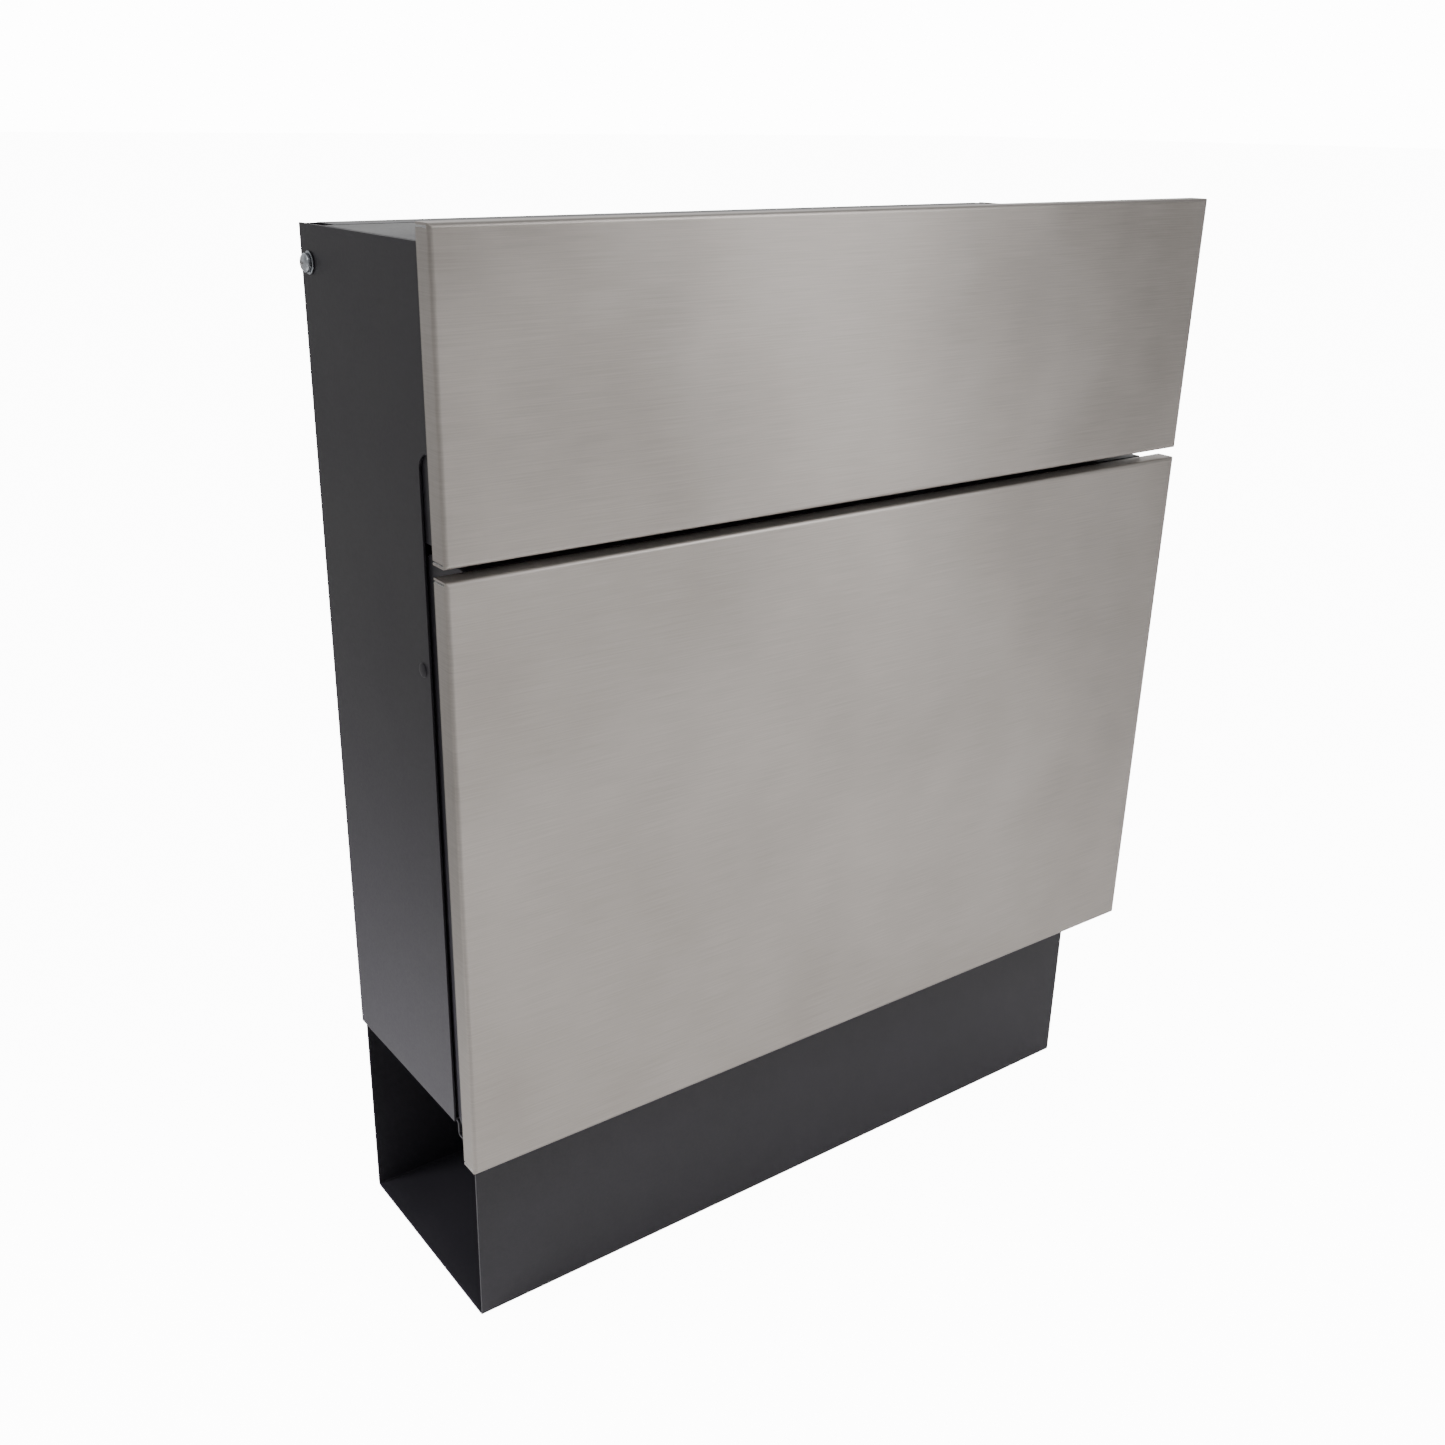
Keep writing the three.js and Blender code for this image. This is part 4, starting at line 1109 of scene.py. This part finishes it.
@dataclass
class Hinges:
    """The lid's two side screws, the door's brackets, pins and rivets, and the rubber stops."""

    shop: Workshop
    fasteners: Fasteners
    metal_edge: float = 0.15
    rubber_edge: float = 0.2
    facets: int = 48
    screw_radius: float = 2.0
    screw_head_radius: float = 3.5
    screw_head_height: float = 2.3
    screw_point: Pair = (1.2, 0.4)  # radius and length of its tip
    recess: Triple = (0.45, 1.9, 1.3)  # half width, half length, depth
    overcut: float = 1.0
    ring_play: float = 0.15
    ring_round: float = 0.15
    rivet_radius: float = 2.0
    rivet_head_radius: float = 4.0
    rivet_head_height: float = 1.4
    clench_shares: Pair = (0.85, 0.8)  # radius and height against the head's
    clench_rounds: tuple[Pair, Pair] = ((0.6, 0.0), (0.15, 0.2))  # inward and upward of its rim
    clench_edge: float = 0.5

    def build(self) -> None:
        """Builds and dresses the hinge parts."""
        for side in Side:
            tag = side.tag
            for node in (f"hinge_bracket_{tag}", f"door_pin_{tag}"):
                self.shop.skin(node, Body.BOX, self.shop.zinc, self.metal_edge)
            for node in (f"lid_bumper_{tag}", f"door_stop_{tag}"):
                self.shop.skin(node, Body.BOX, self.shop.rubber, self.rubber_edge)
            nut = f"lid_screw_nut_{tag}"
            self.fasteners.nuts(f"{nut}_turned", [nut], Body.BOX, (side.value, 0, 0))
        self.screws()
        self.rings("lid_washers", "lid_washer", self.shop.zinc)
        self.rings("lid_bushes", "lid_bush", self.shop.nylon)
        self.rivets()

    def mirrored(self, nodes: Sequence[str], profile: Sequence[Sequence[float]]) -> Turned:
        """A part on each side, its axis pointing outward.

        Args:
            nodes: the left and the right CAD node.
            profile: the part's profile, from its inner end.

        Returns:
            The turned parts, ready to build.
        """
        inner = self.shop.box_mm(nodes[1])[0].x * MM
        places = []
        for side, node in zip(Side, nodes):
            middle = self.shop.middle(node)
            places.append(Vector((side.value * inner, middle.y, middle.z)))
        return Turned(profile, places, [(side.value, 0, 0) for side in Side], self.facets)

    def screws(self) -> None:
        """Pan-head screws with a cross recess and a full thread."""
        nodes = [f"lid_screw_{side.tag}" for side in Side]
        low, high = self.shop.box_mm(nodes[1])
        stem = high.x - low.x - self.screw_head_height
        tip, start = self.screw_point
        profile: list[tuple] = [(0, 0), (tip, 0)] + thread(self.screw_radius, start, stem)
        profile += dome(self.screw_head_radius, self.screw_head_height, stem, steps=9)
        part = self.mirrored(nodes, profile)
        made = part.build("lid_screws", self.shop.turn_tree, self.shop.zinc)
        narrow, long, deep = self.recess
        cross = []
        for side, node in zip(Side, nodes):
            spot = self.shop.middle(node) / MM
            span = sorted((side.value * (high.x - deep), side.value * (high.x + self.overcut)))
            for wide, tall in ((narrow, long), (long, narrow)):
                cross.append(block("recess", (span[0], spot.y - wide, spot.z - tall),
                                   (span[1], spot.y + wide, spot.z + tall)))
        cut(made, cross)
        settle(made)
        self.shop.deliver(made, Body.BOX, self.shop.zinc, nodes)

    def rings(self, name: str, stem: str, finish: Finish) -> None:
        """Flat rings round the lid's screws, their outer edges rounded.

        Args:
            name: the piece's name.
            stem: start of the CAD nodes' names.
            finish: its finish.
        """
        nodes = [f"{stem}_{side.tag}" for side in Side]
        low, high = self.shop.box_mm(nodes[1])
        thick, radius = high.x - low.x, (high.z - low.z) / 2
        bore, edge = self.screw_radius + self.ring_play, self.ring_round
        profile = [(bore, 0), (radius - edge, 0), (radius, edge), (radius, thick - edge),
                   (radius - edge, thick), (bore, thick), (bore, 0)]
        self.shop.turned(name, self.mirrored(nodes, profile), Body.BOX, finish, nodes)

    def rivets(self) -> None:
        """Floor rivets, domed inside the box and clenched below; two grips."""
        for name, numbers in (("front", (1, 3)), ("rear", (2, 4))):
            nodes = [f"floor_rivet_{i}" for i in numbers]
            boxes = [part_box(n) for n in nodes]
            top = (boxes[0][1].z - boxes[0][0].z) / MM - self.rivet_head_height
            spread = self.rivet_head_radius * self.clench_shares[0]
            foot = self.rivet_head_height * self.clench_shares[1]
            profile = [(0, 0)] + [(spread - inward, up) for inward, up in self.clench_rounds]
            profile += [(spread, self.clench_edge), (spread, foot), (self.rivet_radius, foot),
                        (self.rivet_radius, top)]
            profile += dome(self.rivet_head_radius, self.rivet_head_height, top)
            places = [Vector(((a.x + b.x) / 2, (a.y + b.y) / 2, a.z)) for a, b in boxes]
            part = Turned(profile, places, [(0, 0, 1)] * len(nodes))
            self.shop.turned(f"floor_rivets_{name}", part, Body.BOX, self.shop.zinc, nodes)


@dataclass
class CamLock:
    """The cam lock on the front band."""

    shop: Workshop
    fasteners: Fasteners
    nut_flats: float = 22.0
    nut_bore: float = 9.1
    metal_edge: float = 0.15
    cam_edge: float = 0.2

    def build(self) -> None:
        """Builds and dresses the lock."""
        shop = self.shop
        shop.skin("lock_housing", Body.BOX, shop.nickel, self.metal_edge)
        self.fasteners.nuts(
            "lock_nut_turned", ["lock_nut"], Body.BOX, (0, 1, 0), self.nut_flats, self.nut_bore
        )
        shop.skin("lock_plug", Body.LOCK_ROTOR, shop.nickel, self.metal_edge)
        shop.skin("lock_cam", Body.LOCK_ROTOR, shop.zinc, self.cam_edge)
        shop.skin("cam_screw", Body.LOCK_ROTOR, shop.zinc, self.metal_edge)


# ---------------- studio


@dataclass(frozen=True)
class Lamp:
    """A rectangular soft light: its place, the point that it faces, its size and its power.

    The camera never sees it. Lengths are in metres, power is in watts.
    """

    name: str
    at: Triple
    aim: Triple
    size: Pair
    power: float
    spread_deg: float = 180.0
    mirrored: bool = True

    def hang(self) -> None:
        """Puts the light into the scene."""
        data = bpy.data.lights.new(self.name, "AREA")
        data.shape = "RECTANGLE"
        data.size, data.size_y = self.size
        data.energy = self.power
        data.spread = math.radians(self.spread_deg)
        made = bpy.data.objects.new(self.name, data)
        made.location = self.at
        beam = Vector(self.aim) - Vector(self.at)
        made.rotation_euler = beam.to_track_quat("-Z", "Y").to_euler()
        made.visible_camera = False
        made.visible_glossy = self.mirrored
        bpy.context.scene.collection.objects.link(made)


@dataclass
class Studio:
    """A plain pale floor, soft light and the camera.

    A ramp gives two directions along an axis and the room's brightness at each.
    """

    camera_at: Triple = (-0.39645, -0.55622, 0.20991)
    camera_right: Triple = (0.815002, -0.579320, 0.012661)
    camera_up: Triple = (0.207965, 0.312826, 0.926763)
    sensor_mm: float = 36.0
    lens_mm: float = 37.657
    shift: Pair = (0.0235, 0.0016)
    clip_start: float = 0.01
    floor_size: float = 60.0
    floor_colours: tuple[str, str] = ("#efeeed", "#f4f3f2")
    floor_specks: float = 40.0
    floor_roughness: float = 0.9
    floor_shine: float = 0.1
    floor_glow: float = 12.0
    backdrop: float = 14.0
    room: float = 0.33
    rear_ramp: Quad = (0.1, 0.8, 0.0, 0.9)
    right_ramp: Quad = (-0.5, 0.5, 0.3, 1.0)

    def camera(self) -> None:
        """Places the camera and makes it the scene's own."""
        data = bpy.data.cameras.new("camera")
        data.sensor_width = self.sensor_mm
        data.lens = self.lens_mm
        data.shift_x, data.shift_y = self.shift
        data.clip_start = self.clip_start
        made = bpy.data.objects.new("camera", data)
        right, up = Vector(self.camera_right), Vector(self.camera_up)
        turn = Matrix((right, up, right.cross(up))).transposed().to_4x4()
        made.matrix_world = Matrix.Translation(self.camera_at) @ turn
        bpy.context.scene.collection.objects.link(made)
        bpy.context.scene.camera = made

    def floor(self, level: float) -> None:
        """Lays the floor at the foot of the box: matt white paint that stays pale in view.

        Args:
            level: its height in metres.
        """
        half = self.floor_size / 2 / MM
        corners = ((-half, -half), (half, -half), (half, half), (-half, half))
        made = shape("floor", [(x, y, level / MM) for x, y in corners], faces=[(0, 1, 2, 3)])
        finish = bpy.data.materials.new("floor_matt_paint")
        finish.use_nodes = True
        tree = finish.node_tree
        shader = tree.nodes["Principled BSDF"]
        spot = add_node(tree, "ShaderNodeTexCoord").outputs["Object"]
        speck = add_node(tree, "ShaderNodeTexNoise", {"Vector": spot, "Scale": self.floor_specks})
        dark, light = map(linear, self.floor_colours)
        shades = {"Factor": speck.outputs[0], 6: dark, 7: light}
        tone = add_node(tree, "ShaderNodeMix", shades, data_type="RGBA")
        tree.links.new(tone.outputs[2], shader.inputs["Base Color"])
        seen = add_node(tree, "ShaderNodeLightPath").outputs["Is Camera Ray"]
        glow = add_node(tree, MATH, (seen, self.floor_glow), operation="MULTIPLY")
        tree.links.new(glow.outputs[0], shader.inputs["Emission Strength"])
        shader.inputs["Emission Color"].default_value = (1.0, 1.0, 1.0, 1.0)
        shader.inputs["Roughness"].default_value = self.floor_roughness
        shader.inputs["Specular IOR Level"].default_value = self.floor_shine
        made.data.materials.append(finish)
        made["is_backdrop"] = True

    def world(self) -> None:
        """A pale surround: plain white in view, and a soft room in what the finishes mirror."""
        world = bpy.data.worlds.new("studio")
        bpy.context.scene.world = world
        world.use_nodes = True
        tree = world.node_tree
        tree.nodes.clear()
        way = add_node(tree, "ShaderNodeTexCoord").outputs["Generated"]
        part = add_node(tree, "ShaderNodeSeparateXYZ", (way,))
        behind, rightward = (
            add_node(
                tree, "ShaderNodeMapRange",
                {"Value": part.outputs[axis], "From Min": ramp[0], "From Max": ramp[1],
                 "To Min": ramp[2], "To Max": ramp[3]},
                interpolation_type="SMOOTHSTEP",
            ).outputs[0]
            for axis, ramp in ((1, self.rear_ramp), (0, self.right_ramp))
        )
        both = add_node(tree, MATH, (behind, rightward, self.room), operation="MULTIPLY_ADD")
        seen = add_node(tree, "ShaderNodeLightPath").outputs["Is Camera Ray"]
        choice = {0: seen, 2: both.outputs[0], 3: self.backdrop}
        strength = add_node(tree, "ShaderNodeMix", choice, data_type="FLOAT").outputs[0]
        light = {"Color": (1, 1, 1, 1), "Strength": strength}
        sky = add_node(tree, "ShaderNodeBackground", light).outputs[0]
        add_node(tree, "ShaderNodeOutputWorld", {"Surface": sky})

    def build(self, level: float) -> None:
        """Sets up the whole studio.

        Args:
            level: the floor's height in metres.
        """
        self.camera()
        self.floor(level)
        self.world()
        lamps = (
            Lamp("key_above", (1.3, -1.7, 1.35), (0, -0.1, 0), (1.0, 0.6), 9),
            Lamp("fill_above", (-0.5, -0.9, 2.3), (0, 0, 0), (2.4, 2.4), 7.6),
            # a tall strip, for the soft bright band down the stainless
            Lamp("band_right", (1.03, -1.32, 0.45), (0.05, -0.125, 0.05), (0.22, 1.5), 2.5),
            # lights the floor in front, which the lower panel mirrors
            Lamp("pool_front", (-0.1, -0.8, 0.9), (0.05, -0.6, level), (0.6, 0.3), 2.1, 70),
            # lifts the foot of the left side
            Lamp("low_left", (-0.85, 0.1, -0.1), (-0.18, -0.05, -0.23), (0.3, 0.1), 0.6, 40,
                 mirrored=False),
        )
        for lamp in lamps:
            lamp.hang()


def main() -> None:
    """Loads the frame, then builds the letter box and its studio."""
    logging.basicConfig(level=logging.INFO, format="%(message)s", stream=sys.stdout)
    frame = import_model()
    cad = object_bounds()
    shop = Workshop(frame)
    fasteners = Fasteners(shop)
    Studio().build(cad[0].z)
    for part in (SteelBody(shop), Lid(shop, fasteners), Door(shop, fasteners),
                 Hinges(shop, fasteners), CamLock(shop, fasteners)):
        part.build()


if __name__ == "__main__":
    main()
